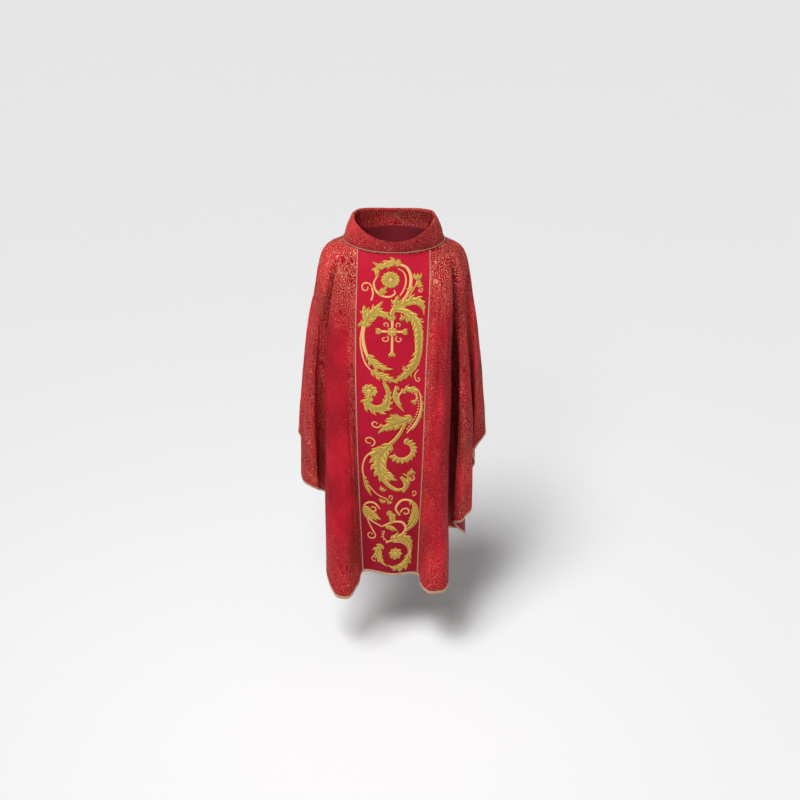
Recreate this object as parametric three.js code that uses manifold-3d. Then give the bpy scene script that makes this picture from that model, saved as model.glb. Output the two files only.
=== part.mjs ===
// A gothic chasuble as it hangs on a wearer: side panels, orphreys, linings, collar, braids and embroidery.
// Millimetres, +Z up, the front towards -Y. The origin is where the garment rests on the shoulders,
// in the middle of the neck opening.
import * as THREE from 'three';
import { mergeVertices } from 'three/addons/utils/BufferGeometryUtils.js';
import Module from 'manifold-3d';

const wasm = await Module();
wasm.setup();

// Driving sizes
const neckHalfWidth = 166;
const neckFront = 128;            // neck seam in front of the origin
const neckBack = 118;             // neck seam behind the origin
const shoulderHalfWidth = 232;
const frontLength = 1233;         // drop from the shoulders to the hem in the middle of the front
const backLength = 1285;
const sideLength = 712;           // drop from the shoulder point to the end of the shoulder line
const hemHalfWidth = 350;         // half the width of the garment at the end of the shoulder line
const orphreyHalfWidth = 118;
const foldDepth = 100;            // how far the front rolls stand out from the orphrey at the hem
const collarHeight = 72;
const clothThickness = 1.2;
const liningThickness = 0.8;
const layerGap = 0.4;             // air between two layers of cloth
const interfacingThickness = 0.9;
const braidThickness = 1.2;
const braidWidth = 9;
const embroideryThickness = 1.6;
const embroideryGap = 0.9;        // the stitching's backing under its lower face
const pipingRadius = 1.6;
const pipingGap = 0.9;            // air between the piping and the collar

const up = new THREE.Vector3(0, 0, 1);
const clothInner = -clothThickness;
const interfacingOuter = clothInner - layerGap;
const interfacingInner = interfacingOuter - interfacingThickness;
const liningOuter = interfacingInner - layerGap;
const liningInner = liningOuter - liningThickness;

// Folds from the middle of the front to the shoulder line, then to the middle of the back. Each gives the
// place across (in half widths) and forward (in fold depths) at the chest, half way down and at the hem,
// and the drop of its hem (in front or back lengths).
const frontLeftFolds = [
  { chest: [0.360, -1.63], middle: [0.343, -1.80], hem: [0.294, -2.00], drop: 0.992 },   // orphrey seam
  { chest: [0.423, -1.66], middle: [0.389, -2.05], hem: [0.337, -2.50], drop: 1.013 },   // roll, inner side
  { chest: [0.503, -1.62], middle: [0.471, -2.22], hem: [0.429, -3.00], drop: 1.030 },   // roll, crest
  { chest: [0.586, -1.45], middle: [0.580, -2.08], hem: [0.571, -2.90], drop: 1.028 },
  { chest: [0.640, -1.18], middle: [0.663, -1.60], hem: [0.686, -2.20], drop: 0.982 },   // roll, outer side
  { chest: [0.657, -0.92], middle: [0.646, -1.00], hem: [0.606, -1.05], drop: 0.885 },   // valley
  { chest: [0.690, -0.84], middle: [0.711, -0.90], hem: [0.726, -0.84], drop: 0.808 },
  { chest: [0.703, -0.74], middle: [0.729, -0.70], hem: [0.780, -0.46], drop: 0.784 },
  { chest: [0.717, -0.71], middle: [0.763, -0.72], hem: [0.811, -0.56], drop: 0.768 },
  { chest: [0.734, -0.70], middle: [0.794, -1.00], hem: [0.760, -1.12], drop: 0.747 },   // side fold
  { chest: [0.754, -0.58], middle: [0.851, -0.96], hem: [0.851, -1.05], drop: 0.740 },
  { chest: [0.777, -0.36], middle: [0.903, -0.52], hem: [0.957, -0.55], drop: 0.720 },
  { chest: [0.783, -0.16], middle: [0.880, -0.18], hem: [0.909, -0.18], drop: 0.656 },
];
const frontRightFolds = [
  { chest: [0.326, -1.63], middle: [0.314, -1.80], hem: [0.280, -2.00], drop: 1.001 },   // orphrey seam
  { chest: [0.389, -1.65], middle: [0.354, -2.02], hem: [0.314, -2.48], drop: 1.007 },   // roll, inner side
  { chest: [0.463, -1.58], middle: [0.429, -2.12], hem: [0.400, -2.90], drop: 1.010 },   // roll, crest
  { chest: [0.531, -1.40], middle: [0.526, -2.00], hem: [0.543, -2.85], drop: 1.010 },
  { chest: [0.571, -1.12], middle: [0.589, -1.52], hem: [0.617, -2.22], drop: 1.004 },   // roll, outer side
  { chest: [0.589, -0.88], middle: [0.537, -0.92], hem: [0.543, -0.95], drop: 0.958 },   // valley
  { chest: [0.617, -0.76], middle: [0.589, -0.66], hem: [0.663, -0.52], drop: 0.935 },
  { chest: [0.640, -0.72], middle: [0.634, -0.92], hem: [0.611, -1.12], drop: 0.864 },   // side fold
  { chest: [0.680, -0.66], middle: [0.720, -1.12], hem: [0.737, -1.28], drop: 0.846 },
  { chest: [0.720, -0.50], middle: [0.806, -0.80], hem: [0.849, -0.80], drop: 0.826 },
  { chest: [0.749, -0.26], middle: [0.777, -0.20], hem: [0.794, -0.06], drop: 0.726 },   // deep valley
  { chest: [0.777, -0.14], middle: [0.857, -0.34], hem: [0.857, -0.34], drop: 0.640 },
];
const backFolds = [
  { chest: [0.343, 1.50], middle: [0.343, 1.68], hem: [0.337, 1.78], drop: 0.994 },      // orphrey seam
  { chest: [0.429, 1.52], middle: [0.417, 1.96], hem: [0.414, 2.35], drop: 1.000 },
  { chest: [0.520, 1.40], middle: [0.526, 2.05], hem: [0.537, 2.62], drop: 0.989 },      // roll, crest
  { chest: [0.589, 1.18], middle: [0.634, 1.65], hem: [0.680, 1.90], drop: 0.944 },
  { chest: [0.629, 0.92], middle: [0.634, 0.96], hem: [0.649, 1.02], drop: 0.876 },      // valley
  { chest: [0.680, 0.78], middle: [0.749, 1.12], hem: [0.789, 1.22], drop: 0.798 },
  { chest: [0.726, 0.56], middle: [0.834, 0.86], hem: [0.903, 0.84], drop: 0.722 },
  { chest: [0.760, 0.28], middle: [0.857, 0.30], hem: [0.874, 0.26], drop: 0.652 },
];
const chestShare = 0.25;          // share of the drop below the shoulder at the chest row
const middleShare = 0.58;
const seamDrop = 30.5;            // the neck seam at the sides, below the origin
const seamTilt = 8.5;             // it lies this much lower in front and higher behind
const lengthDatum = 38;           // lengths are taken from this far below the origin
const yokeDrop = 112;             // the second row beside the orphreys, below the origin
const shoulderDrop = 64;          // and at the shoulder point
const yokeEase = { front: 6, back: 10, centre: 18 };    // cloth standing out from the neck at that row
const yokeRoundness = 0.85;
const centreDepths = { front: [176, 190, 205], back: [158, 172, 182] };   // chest, middle and hem
const shoulderLineWidths = { chest: 0.79, middle: 0.9 };                  // in hem half widths

function neckSeam(angle) {
  const reach = Math.cos(angle) > 0 ? neckFront : neckBack;
  const height = -seamDrop - seamTilt * Math.cos(angle);
  return new THREE.Vector3(neckHalfWidth * Math.sin(angle), -reach * Math.cos(angle), height);
}

// The height a share of the way from the second row down to the hem.
function heightAt(share, top, hem) {
  return top + (hem - top) * share;
}

const seamAngle = Math.asin(orphreyHalfWidth / neckHalfWidth);

// One fold line as five points: neck seam, shoulder, chest, middle and hem.
function foldLine(fold, side, facing, share, length) {
  const angle = seamAngle + share * (Math.PI / 2 - seamAngle);
  const neck = neckSeam(side * (facing < 0 ? angle : Math.PI - angle));
  const turn = share * Math.PI / 2;
  const depth = facing < 0 ? neckFront + yokeEase.front : neckBack + yokeEase.back;
  const shoulder = new THREE.Vector3(
    side * THREE.MathUtils.lerp(orphreyHalfWidth + 2, shoulderHalfWidth, Math.sin(turn)),
    facing * depth * Math.cos(turn) ** yokeRoundness,
    -THREE.MathUtils.lerp(yokeDrop, shoulderDrop, share),
  );
  const hemHeight = -lengthDatum - length * fold.drop;
  const place = ([across, forward], height) =>
    new THREE.Vector3(side * across * hemHalfWidth, forward * foldDepth, height);
  return [neck, shoulder, place(fold.chest, heightAt(chestShare, shoulder.z, hemHeight)),
    place(fold.middle, heightAt(middleShare, shoulder.z, hemHeight)), place(fold.hem, hemHeight)];
}

function foldLines(folds, side, facing, length) {
  return folds.map((fold, index) => foldLine(fold, side, facing, index / folds.length, length));
}

function centreLine(facing, [chest, middle, hem], length) {
  const neck = neckSeam(facing < 0 ? 0 : Math.PI);
  const hemHeight = -lengthDatum - length;
  const point = (forward, share) =>
    new THREE.Vector3(0, facing * forward, heightAt(share, -yokeDrop, hemHeight));
  return [neck, point((facing < 0 ? neckFront : neckBack) + yokeEase.centre, 0), point(chest, chestShare),
    point(middle, middleShare), point(hem, 1)];
}

// The shoulder line falls from the neck over the shoulder point to the end of the sleeve side.
function shoulderLine(side) {
  const along = (width, share) => new THREE.Vector3(side * width, 0, -shoulderDrop - sideLength * share);
  return [neckSeam(side * Math.PI / 2), along(shoulderHalfWidth, 0),
    along(hemHalfWidth * shoulderLineWidths.chest, chestShare),
    along(hemHalfWidth * shoulderLineWidths.middle, middleShare), along(hemHalfWidth, 1)];
}

const lines = [
  centreLine(-1, centreDepths.front, frontLength),
  ...foldLines(frontRightFolds, 1, -1, frontLength),
  shoulderLine(1),
  ...foldLines(backFolds, 1, 1, backLength).reverse(),
  centreLine(1, centreDepths.back, backLength),
  ...foldLines(backFolds, -1, 1, backLength),
  shoulderLine(-1),
  ...foldLines(frontLeftFolds, -1, -1, frontLength).reverse(),
];
const lineCount = lines.length;
const rows = [0, 1, 2, 3, 4].map((row) => new THREE.CatmullRomCurve3(lines.map((line) => line[row]), true));

// Places around the garment, counted in fold lines from the middle of the front, right side first.
const frontSeam = 1;
const rightShoulder = frontRightFolds.length + 1;
const backSeam = rightShoulder + backFolds.length;
const backCentre = backSeam + 1;
const leftShoulder = lineCount - frontLeftFolds.length - 1;

// A point of the smooth drape, u fold lines around and v rows down (0 at the neck seam, 4 at the hem).
function drape(u, v) {
  const around = (((u / lineCount) % 1) + 1) % 1;
  const column = new THREE.CatmullRomCurve3(rows.map((row) => row.getPoint(around)));
  return column.getPoint(v / 4);
}

function outward(u, v) {
  const step = 0.02;
  const across = drape(u + step, v).sub(drape(u - step, v));
  const down = drape(u, Math.min(v + step, 4)).sub(drape(u, Math.max(v - step, 0)));
  return down.cross(across).normalize();
}

// Every layer of cloth shares one grid of facets, so layers at different offsets never cut each other.
const perLine = 2;                // facets to each fold line
const neckEdge = 0.03;
const hemEdge = 3.976;
const clothRows = [neckEdge, 0.5, 1, 1.5, 2, 2.6, 3.3, hemEdge];
const gridRows = [...clothRows, 4];

const knots = new Map();
function knot(place, row) {
  const key = `${((place % (lineCount * perLine)) + lineCount * perLine) % (lineCount * perLine)},${row}`;
  if (!knots.has(key)) {
    const u = place / perLine;
    knots.set(key, { point: drape(u, gridRows[row]), normal: outward(u, gridRows[row]) });
  }
  return knots.get(key);
}

// The point at an offset outside the facet that holds u and v.
function raised(u, v, offset) {
  const place = Math.floor(u * perLine + 1e-6);
  const row = Math.max(0, gridRows.findLastIndex((value, i) => value <= v + 1e-6 && i < gridRows.length - 1));
  const right = u * perLine - place;
  const down = (v - gridRows[row]) / (gridRows[row + 1] - gridRows[row]);
  const corner = (i, j) => {
    const { point, normal } = knot(place + i, row + j);
    return point.clone().addScaledVector(normal, offset);
  };
  const start = corner(0, 0);
  const end = corner(1, 1);
  const bend = down >= right ? corner(0, 1) : corner(1, 0);
  const [first, second] = down >= right ? [down, right] : [right, down];
  return start.clone().addScaledVector(bend.clone().sub(start), first)
    .addScaledVector(end.sub(bend), second);
}

// A closed solid from points and the triangles between them.
function solidFromTriangles(points, triangles) {
  const geometry = new THREE.BufferGeometry();
  geometry.setAttribute('position', new THREE.Float32BufferAttribute(points.flatMap((p) => p.toArray()), 3));
  geometry.setIndex(triangles);
  return geometry;
}

// A piece of cloth between two offsets from the drape, over the given places around and rows down.
function sheet(us, vs, inner, outer) {
  const points = [];
  for (const offset of [inner, outer]) {
    for (const v of vs) {
      for (const u of us) points.push(raised(u, v, offset));
    }
  }
  const width = us.length;
  const height = vs.length;
  const index = (layer, i, j) => layer * width * height + j * width + i;
  const triangles = [];
  const quad = (a, b, c, d) => triangles.push(a, b, c, a, c, d);
  for (let j = 0; j + 1 < height; j += 1) {
    for (let i = 0; i + 1 < width; i += 1) {
      quad(index(1, i, j), index(1, i, j + 1), index(1, i + 1, j + 1), index(1, i + 1, j));
      triangles.push(index(0, i, j), index(0, i + 1, j + 1), index(0, i, j + 1));
      triangles.push(index(0, i, j), index(0, i + 1, j), index(0, i + 1, j + 1));
    }
  }
  for (let i = 0; i + 1 < width; i += 1) {
    const last = height - 1;
    quad(index(1, i, 0), index(1, i + 1, 0), index(0, i + 1, 0), index(0, i, 0));
    quad(index(0, i, last), index(0, i + 1, last), index(1, i + 1, last), index(1, i, last));
  }
  for (let j = 0; j + 1 < height; j += 1) {
    const last = width - 1;
    quad(index(0, 0, j), index(0, 0, j + 1), index(1, 0, j + 1), index(1, 0, j));
    quad(index(1, last, j), index(1, last, j + 1), index(0, last, j + 1), index(0, last, j));
  }
  return solidFromTriangles(points, triangles);
}

// Places from one seam to another along the facets, with a small gap kept at both seams.
const seamGap = 0.012;
function across(from, to) {
  const count = Math.round((to - from) * perLine);
  const places = Array.from({ length: count + 1 }, (_, i) => from + i / perLine);
  places[0] += seamGap;
  places[count] -= seamGap;
  return places;
}

// Rows for a narrow strip along a seam: the strip bends where it crosses the diagonals of the facets.
function stripRows(halfWidth, first = 0) {
  const share = halfWidth * perLine;
  const added = clothRows.slice(0, -1).flatMap((row, i) => {
    const step = clothRows[i + 1] - row;
    return [row, row + share * step, row + (1 - share) * step];
  });
  return added.slice(first);
}

const colours = {
  damask: { color: 0xb8303a, roughness: 0.6, metalness: 0.15 },
  satin: { color: 0xa31530, roughness: 0.5, metalness: 0 },
  lining: { color: 0x9c1f2c, roughness: 0.8, metalness: 0 },
  canvas: { color: 0xe6dcc8, roughness: 0.9, metalness: 0 },
  braid: { color: 0xc9a878, roughness: 0.5, metalness: 0.4 },
  gold: { color: 0xc9a03c, roughness: 0.45, metalness: 0.5 },
};

const chasuble = new THREE.Group();

function add(name, geometry, colour) {
  const mesh = new THREE.Mesh(geometry, new THREE.MeshStandardMaterial(colours[colour]));
  mesh.name = name;
  chasuble.add(mesh);
}

const panels = {
  front_left_panel: [leftShoulder - lineCount, -frontSeam, 'damask'],
  front_orphrey_panel: [-frontSeam, frontSeam, 'satin'],
  front_right_panel: [frontSeam, rightShoulder, 'damask'],
  back_right_panel: [rightShoulder, backSeam, 'damask'],
  back_orphrey_panel: [backSeam, backSeam + 2, 'satin'],
  back_left_panel: [backSeam + 2, leftShoulder, 'damask'],
};

function addPanels() {
  for (const [name, [from, to, colour]] of Object.entries(panels)) {
    add(name, sheet(across(from, to), clothRows, clothInner, 0), colour);
  }
}

// The linings hang inside the panels and end at the same hem.
function addLinings() {
  const front = across(leftShoulder - lineCount, rightShoulder);
  add('front_lining', sheet(front, clothRows, liningInner, liningOuter), 'lining');
  add('back_lining', sheet(across(rightShoulder, leftShoulder), clothRows, liningInner, liningOuter), 'lining');
}

// Woven canvas between the orphrey and the lining keeps the embroidered panel flat.
function addInterfacings() {
  const places = { front: -frontSeam, back: backSeam };
  for (const [side, from] of Object.entries(places)) {
    const solid = sheet(across(from, from + 2), clothRows.slice(1), interfacingInner, interfacingOuter);
    add(`${side}_orphrey_interfacing`, solid, 'canvas');
  }
}

const tapeEase = 0.25;            // the tapes are this much thinner than the interfacing

// A tape inside each shoulder seam, from the neck to the end of the shoulder line.
function addShoulderTapes() {
  const half = 0.15;
  const tapeInner = interfacingInner + tapeEase;
  for (const [name, seam] of [['right', rightShoulder], ['left', leftShoulder]]) {
    const places = [seam - half, seam, seam + half];
    add(`${name}_shoulder_tape`, sheet(places, stripRows(half, 3), tapeInner, interfacingOuter), 'canvas');
  }
}

// A tape under the neck seam, between the cloth and the lining, with its ends meeting at the back.
function addNeckTape() {
  const places = across(backCentre - lineCount, backCentre);
  const lowEdge = clothRows[1] - 0.01;
  add('neck_seam_tape', sheet(places, [neckEdge, lowEdge], interfacingInner, interfacingOuter), 'canvas');
}

// Closed rings of points swept all the way round.
function closedSweep(rings) {
  const size = rings[0].length;
  const count = rings.length;
  const triangles = [];
  for (let i = 0; i < count; i += 1) {
    for (let k = 0; k < size; k += 1) {
      const a = i * size + k;
      const b = i * size + ((k + 1) % size);
      const c = ((i + 1) % count) * size + ((k + 1) % size);
      const d = ((i + 1) % count) * size + k;
      triangles.push(a, b, c, a, c, d);
    }
  }
  return outsideOut(solidFromTriangles(rings.flat(), triangles));
}

// Turns the faces of a solid round when its volume comes out negative.
function outsideOut(geometry) {
  const position = geometry.getAttribute('position');
  const index = geometry.getIndex();
  const corner = (i) => new THREE.Vector3().fromBufferAttribute(position, index.getX(i));
  let volume = 0;
  for (let i = 0; i < index.count; i += 3) {
    volume += corner(i).dot(corner(i + 1).cross(corner(i + 2)));
  }
  if (volume < 0) index.array.reverse();
  return geometry;
}

// The collar: a band folded at its rim, soft and wide, leaning in towards the neck.
const collarRimWidth = neckHalfWidth * 0.82;
const collarRimFront = neckFront * 0.88;
const collarRimBack = neckBack * 0.95;
const rimHeight = { middle: collarHeight * 0.34, frontDip: 0.78, sideRise: 0.62, lift: 4 };
const collarSwell = 5;             // how far the wall bows outwards
const collarBaseHalf = 1.5;        // half the thickness of the folded band at the neck seam
const collarRimHalf = 5;           // and at its rim
const collarDrop = 1.1;            // the band's lower edge hangs this far below the neck seam
const bandThickness = 1.2;
const waddingGap = 0.7;

function collarPoint(angle, share) {
  const base = neckSeam(angle);
  base.z -= collarDrop;
  const reach = Math.cos(angle) > 0 ? collarRimFront : collarRimBack;
  const wave = 1 - rimHeight.frontDip * Math.cos(angle) - rimHeight.sideRise * Math.cos(2 * angle);
  const height = rimHeight.middle * wave + rimHeight.lift;
  const rim = new THREE.Vector3(collarRimWidth * Math.sin(angle), -reach * Math.cos(angle), height);
  const swell = Math.sin(share * Math.PI) * collarSwell;
  const out = new THREE.Vector3(Math.sin(angle), -Math.cos(angle), 0);
  return base.lerp(rim, share).addScaledVector(out, swell);
}

function collarFrame(angle, share) {
  const step = 0.02;
  const along = collarPoint(angle + step, share).sub(collarPoint(angle - step, share)).normalize();
  const rise = collarPoint(angle, share + step).sub(collarPoint(angle, share - step)).normalize();
  return { point: collarPoint(angle, share), rise, out: along.clone().cross(rise).normalize() };
}

// The outline of the folded band at one angle, set in from its face by the given amount.
function collarFold(angle, inset, shares) {
  const half = (share) => collarBaseHalf + (collarRimHalf - collarBaseHalf) * share - inset;
  const wall = (share, side) => {
    const frame = collarFrame(angle, share);
    return frame.point.addScaledVector(frame.out, side * half(share));
  };
  const rim = collarFrame(angle, 1);
  const arc = [45, 90, 135].map((degrees) => {
    const turn = THREE.MathUtils.degToRad(degrees);
    return rim.point.clone().addScaledVector(rim.out, half(1) * Math.cos(turn))
      .addScaledVector(rim.rise, half(1) * Math.sin(turn));
  });
  return [...shares.map((share) => wall(share, 1)), ...arc, ...shares.toReversed().map((share) => wall(share, -1))];
}

const collarShares = [0, 1 / 3, 2 / 3, 1];
const collarSteps = 44;
const collarAngles = Array.from({ length: collarSteps }, (_, i) => (i * 2 * Math.PI) / collarSteps);

function addCollar() {
  const band = collarAngles.map((angle) =>
    [...collarFold(angle, 0, collarShares), ...collarFold(angle, bandThickness, collarShares).reverse()]);
  add('collar_band', closedSweep(band), 'damask');
  const wadding = collarAngles.map((angle) => collarFold(angle, bandThickness + waddingGap, collarShares.slice(1)));
  add('collar_interlining', closedSweep(wadding), 'canvas');
}

// A round cord piping along the lower edge of the collar.
function addPiping() {
  const sides = 6;
  const steps = 56;
  const rings = Array.from({ length: steps }, (_, i) => {
    const angle = (i * 2 * Math.PI) / steps;
    const out = new THREE.Vector3(Math.sin(angle), -Math.cos(angle), 0);
    const centre = neckSeam(angle).addScaledVector(out, collarBaseHalf + pipingRadius + layerGap + pipingGap);
    centre.z += pipingRadius + 1;
    return Array.from({ length: sides }, (_unused, k) => {
      const turn = (k * 2 * Math.PI) / sides;
      return centre.clone().addScaledVector(out, pipingRadius * Math.cos(turn))
        .addScaledVector(up, pipingRadius * Math.sin(turn));
    });
  });
  add('collar_piping', closedSweep(rings), 'braid');
}

const linesPerMillimetre = 0.01;   // fold lines to a millimetre across, beside an orphrey seam

// Narrow woven galloons over the four orphrey seams.
function addGalloons() {
  const seams = {
    front_left_galloon: -frontSeam,
    front_right_galloon: frontSeam,
    back_right_galloon: backSeam,
    back_left_galloon: backSeam + 2,
  };
  for (const [name, seam] of Object.entries(seams)) {
    const half = braidWidth * linesPerMillimetre;
    const places = [seam - half, seam, seam + half];
    add(name, sheet(places, [...stripRows(half), hemEdge], layerGap, layerGap + braidThickness), 'braid');
  }
}

const bindingGap = { satin: 0.0015, damask: 0.012 };    // rows between the cloth's edge and its binding
const bindingWrap = 0.3;          // the binding reaches this far inside the lining

// Binding wrapped over the hem edges of the cloth and the lining, one strip to each panel. The hem of a side
// panel climbs steeply, so its binding keeps a wider gap down the cloth.
function addHemBindings() {
  for (const [panel, [from, to, colour]] of Object.entries(panels)) {
    const name = `${panel.replace('_panel', '')}_hem_binding`;
    const gap = bindingGap[colour];
    add(name, sheet(across(from, to), [hemEdge + gap, 4], liningInner - bindingWrap, layerGap), 'braid');
  }
}

// Embroidery is drawn flat, in millimetres to the right of the middle and down from the neck seam.
const rowLengths = gridRows.reduce((lengths, row, i) => {
  const step = i === 0 ? 0 : drape(0, gridRows[i - 1]).distanceTo(drape(0, row));
  return [...lengths, (lengths.at(-1) ?? 0) + step];
}, []);

function onOrphrey(right, down, offset, centre) {
  const row = Math.max(0, rowLengths.findLastIndex((value, i) => value <= down + 1e-4 && i < gridRows.length - 1));
  const share = (down - rowLengths[row]) / (rowLengths[row + 1] - rowLengths[row]);
  const v = gridRows[row] + share * (gridRows[row + 1] - gridRows[row]);
  return raised(centre + right / orphreyHalfWidth, v, offset);
}

// Splits flat triangles where they cross the line on which the given distance is nought.
function splitWhere(triangles, distance) {
  const crossing = (a, b) => {
    const [low, high] = distance(a) < distance(b) ? [a, b] : [b, a];
    return low.clone().lerp(high, distance(low) / (distance(low) - distance(high)));
  };
  return triangles.flatMap((triangle) => {
    const sides = triangle.map((corner) => Math.sign(Math.round(distance(corner) * 1e4)));
    if (Math.max(...sides) < 1 || Math.min(...sides) > -1) return [triangle];
    const turned = (i) => [triangle[i], triangle[(i + 1) % 3], triangle[(i + 2) % 3]];
    const onLine = sides.indexOf(0);
    if (onLine >= 0) {
      const [a, b, c] = turned(onLine);
      const middle = crossing(b, c);
      return [[a, b, middle], [a, middle, c]];
    }
    const alone = sides.findIndex((side, i) => side !== sides[(i + 1) % 3] && side !== sides[(i + 2) % 3]);
    const [a, b, c] = turned(alone);
    const near = crossing(a, b);
    const far = crossing(a, c);
    return [[a, near, far], [near, b, c], [near, c, far]];
  });
}

// Splits flat triangles along the edges and the diagonals of the facets that they lie on.
function splitOnFacets(triangles) {
  const step = orphreyHalfWidth / perLine;
  let pieces = triangles;
  for (let i = 1 - perLine; i < perLine; i += 1) pieces = splitWhere(pieces, ({ x }) => x - i * step);
  for (const length of rowLengths) pieces = splitWhere(pieces, ({ y }) => y - length);
  return pieces.flatMap((triangle) => {
    const middle = triangle[0].clone().add(triangle[1]).add(triangle[2]).divideScalar(3);
    const left = Math.floor(middle.x / step) * step;
    const row = rowLengths.findLastIndex((length) => length <= middle.y);
    const slope = step / (rowLengths[row + 1] - rowLengths[row]);
    return splitWhere([triangle], ({ x, y }) => x - left - (y - rowLengths[row]) * slope);
  });
}

function extrudeFlat(outline) {
  const geometry = new THREE.ExtrudeGeometry(new THREE.Shape(outline), { depth: 1, bevelEnabled: false });
  geometry.deleteAttribute('normal');
  geometry.deleteAttribute('uv');
  return mergeVertices(geometry, 1e-4);
}

// A tapering stroke of satin stitch through the given points.
function stroke(points, startWidth, middleWidth, endWidth) {
  const curve = new THREE.CatmullRomCurve3(points.map(([x, y]) => new THREE.Vector3(x, y, 0)));
  const count = Math.max(4, Math.round(curve.getLength() / 16));
  const left = [];
  const right = [];
  for (let i = 0; i <= count; i += 1) {
    const share = i / count;
    const width = share < 0.5
      ? startWidth + (middleWidth - startWidth) * share * 2
      : middleWidth + (endWidth - middleWidth) * (share * 2 - 1);
    const centre = curve.getPointAt(share);
    const along = curve.getTangentAt(share);
    const side = new THREE.Vector2(-along.y, along.x).multiplyScalar(width / 2);
    left.push(new THREE.Vector2(centre.x, centre.y).add(side));
    right.push(new THREE.Vector2(centre.x, centre.y).sub(side));
  }
  return extrudeFlat([...left, ...right.reverse()]);
}

function arcPoints(x, y, radius, fromDegrees, toDegrees, endRadius = radius) {
  const count = Math.max(3, Math.round(Math.abs(toDegrees - fromDegrees) / 45));
  return Array.from({ length: count + 1 }, (_, i) => {
    const share = i / count;
    const turn = THREE.MathUtils.degToRad(fromDegrees + (toDegrees - fromDegrees) * share);
    const reach = radius + (endRadius - radius) * share;
    return [x + reach * Math.cos(turn), y + reach * Math.sin(turn)];
  });
}

function scroll(x, y, radius, fromDegrees, toDegrees, endRadius, width = 7) {
  return stroke(arcPoints(x, y, radius, fromDegrees, toDegrees, endRadius), width, width, width * 0.6);
}

function blossom(x, y, radius, petals) {
  const outline = Array.from({ length: petals * 2 }, (_, i) => {
    const turn = (i * Math.PI) / petals;
    const reach = radius * (i % 2 ? 0.78 : 1);
    return new THREE.Vector2(x + reach * Math.cos(turn), y + reach * Math.sin(turn));
  });
  return extrudeFlat(outline);
}

function toManifold(geometry) {
  return new wasm.Manifold(new wasm.Mesh({
    numProp: 3,
    vertProperties: new Float32Array(geometry.getAttribute('position').array),
    triVerts: new Uint32Array(geometry.getIndex().array),
  }));
}

// Joins flat strokes into one piece and lays it on the facets of the orphrey.
function motif(strokes, centre = 0) {
  const whole = strokes.slice(1).reduce((sum, piece) => sum.add(toManifold(piece)), toManifold(strokes[0]));
  const mesh = whole.getMesh();
  const corner = (i) => new THREE.Vector3().fromArray(mesh.vertProperties, mesh.triVerts[i] * mesh.numProp);
  const triangles = Array.from({ length: mesh.triVerts.length / 3 }, (_, i) =>
    [corner(i * 3), corner(i * 3 + 1), corner(i * 3 + 2)]);
  const points = splitOnFacets(triangles).flat().map(({ x, y, z }) =>
    onOrphrey(x, y, embroideryGap + z * embroideryThickness, centre));
  const laid = new THREE.BufferGeometry().setFromPoints(points);
  return outsideOut(mergeVertices(laid, 1e-3));
}

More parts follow.
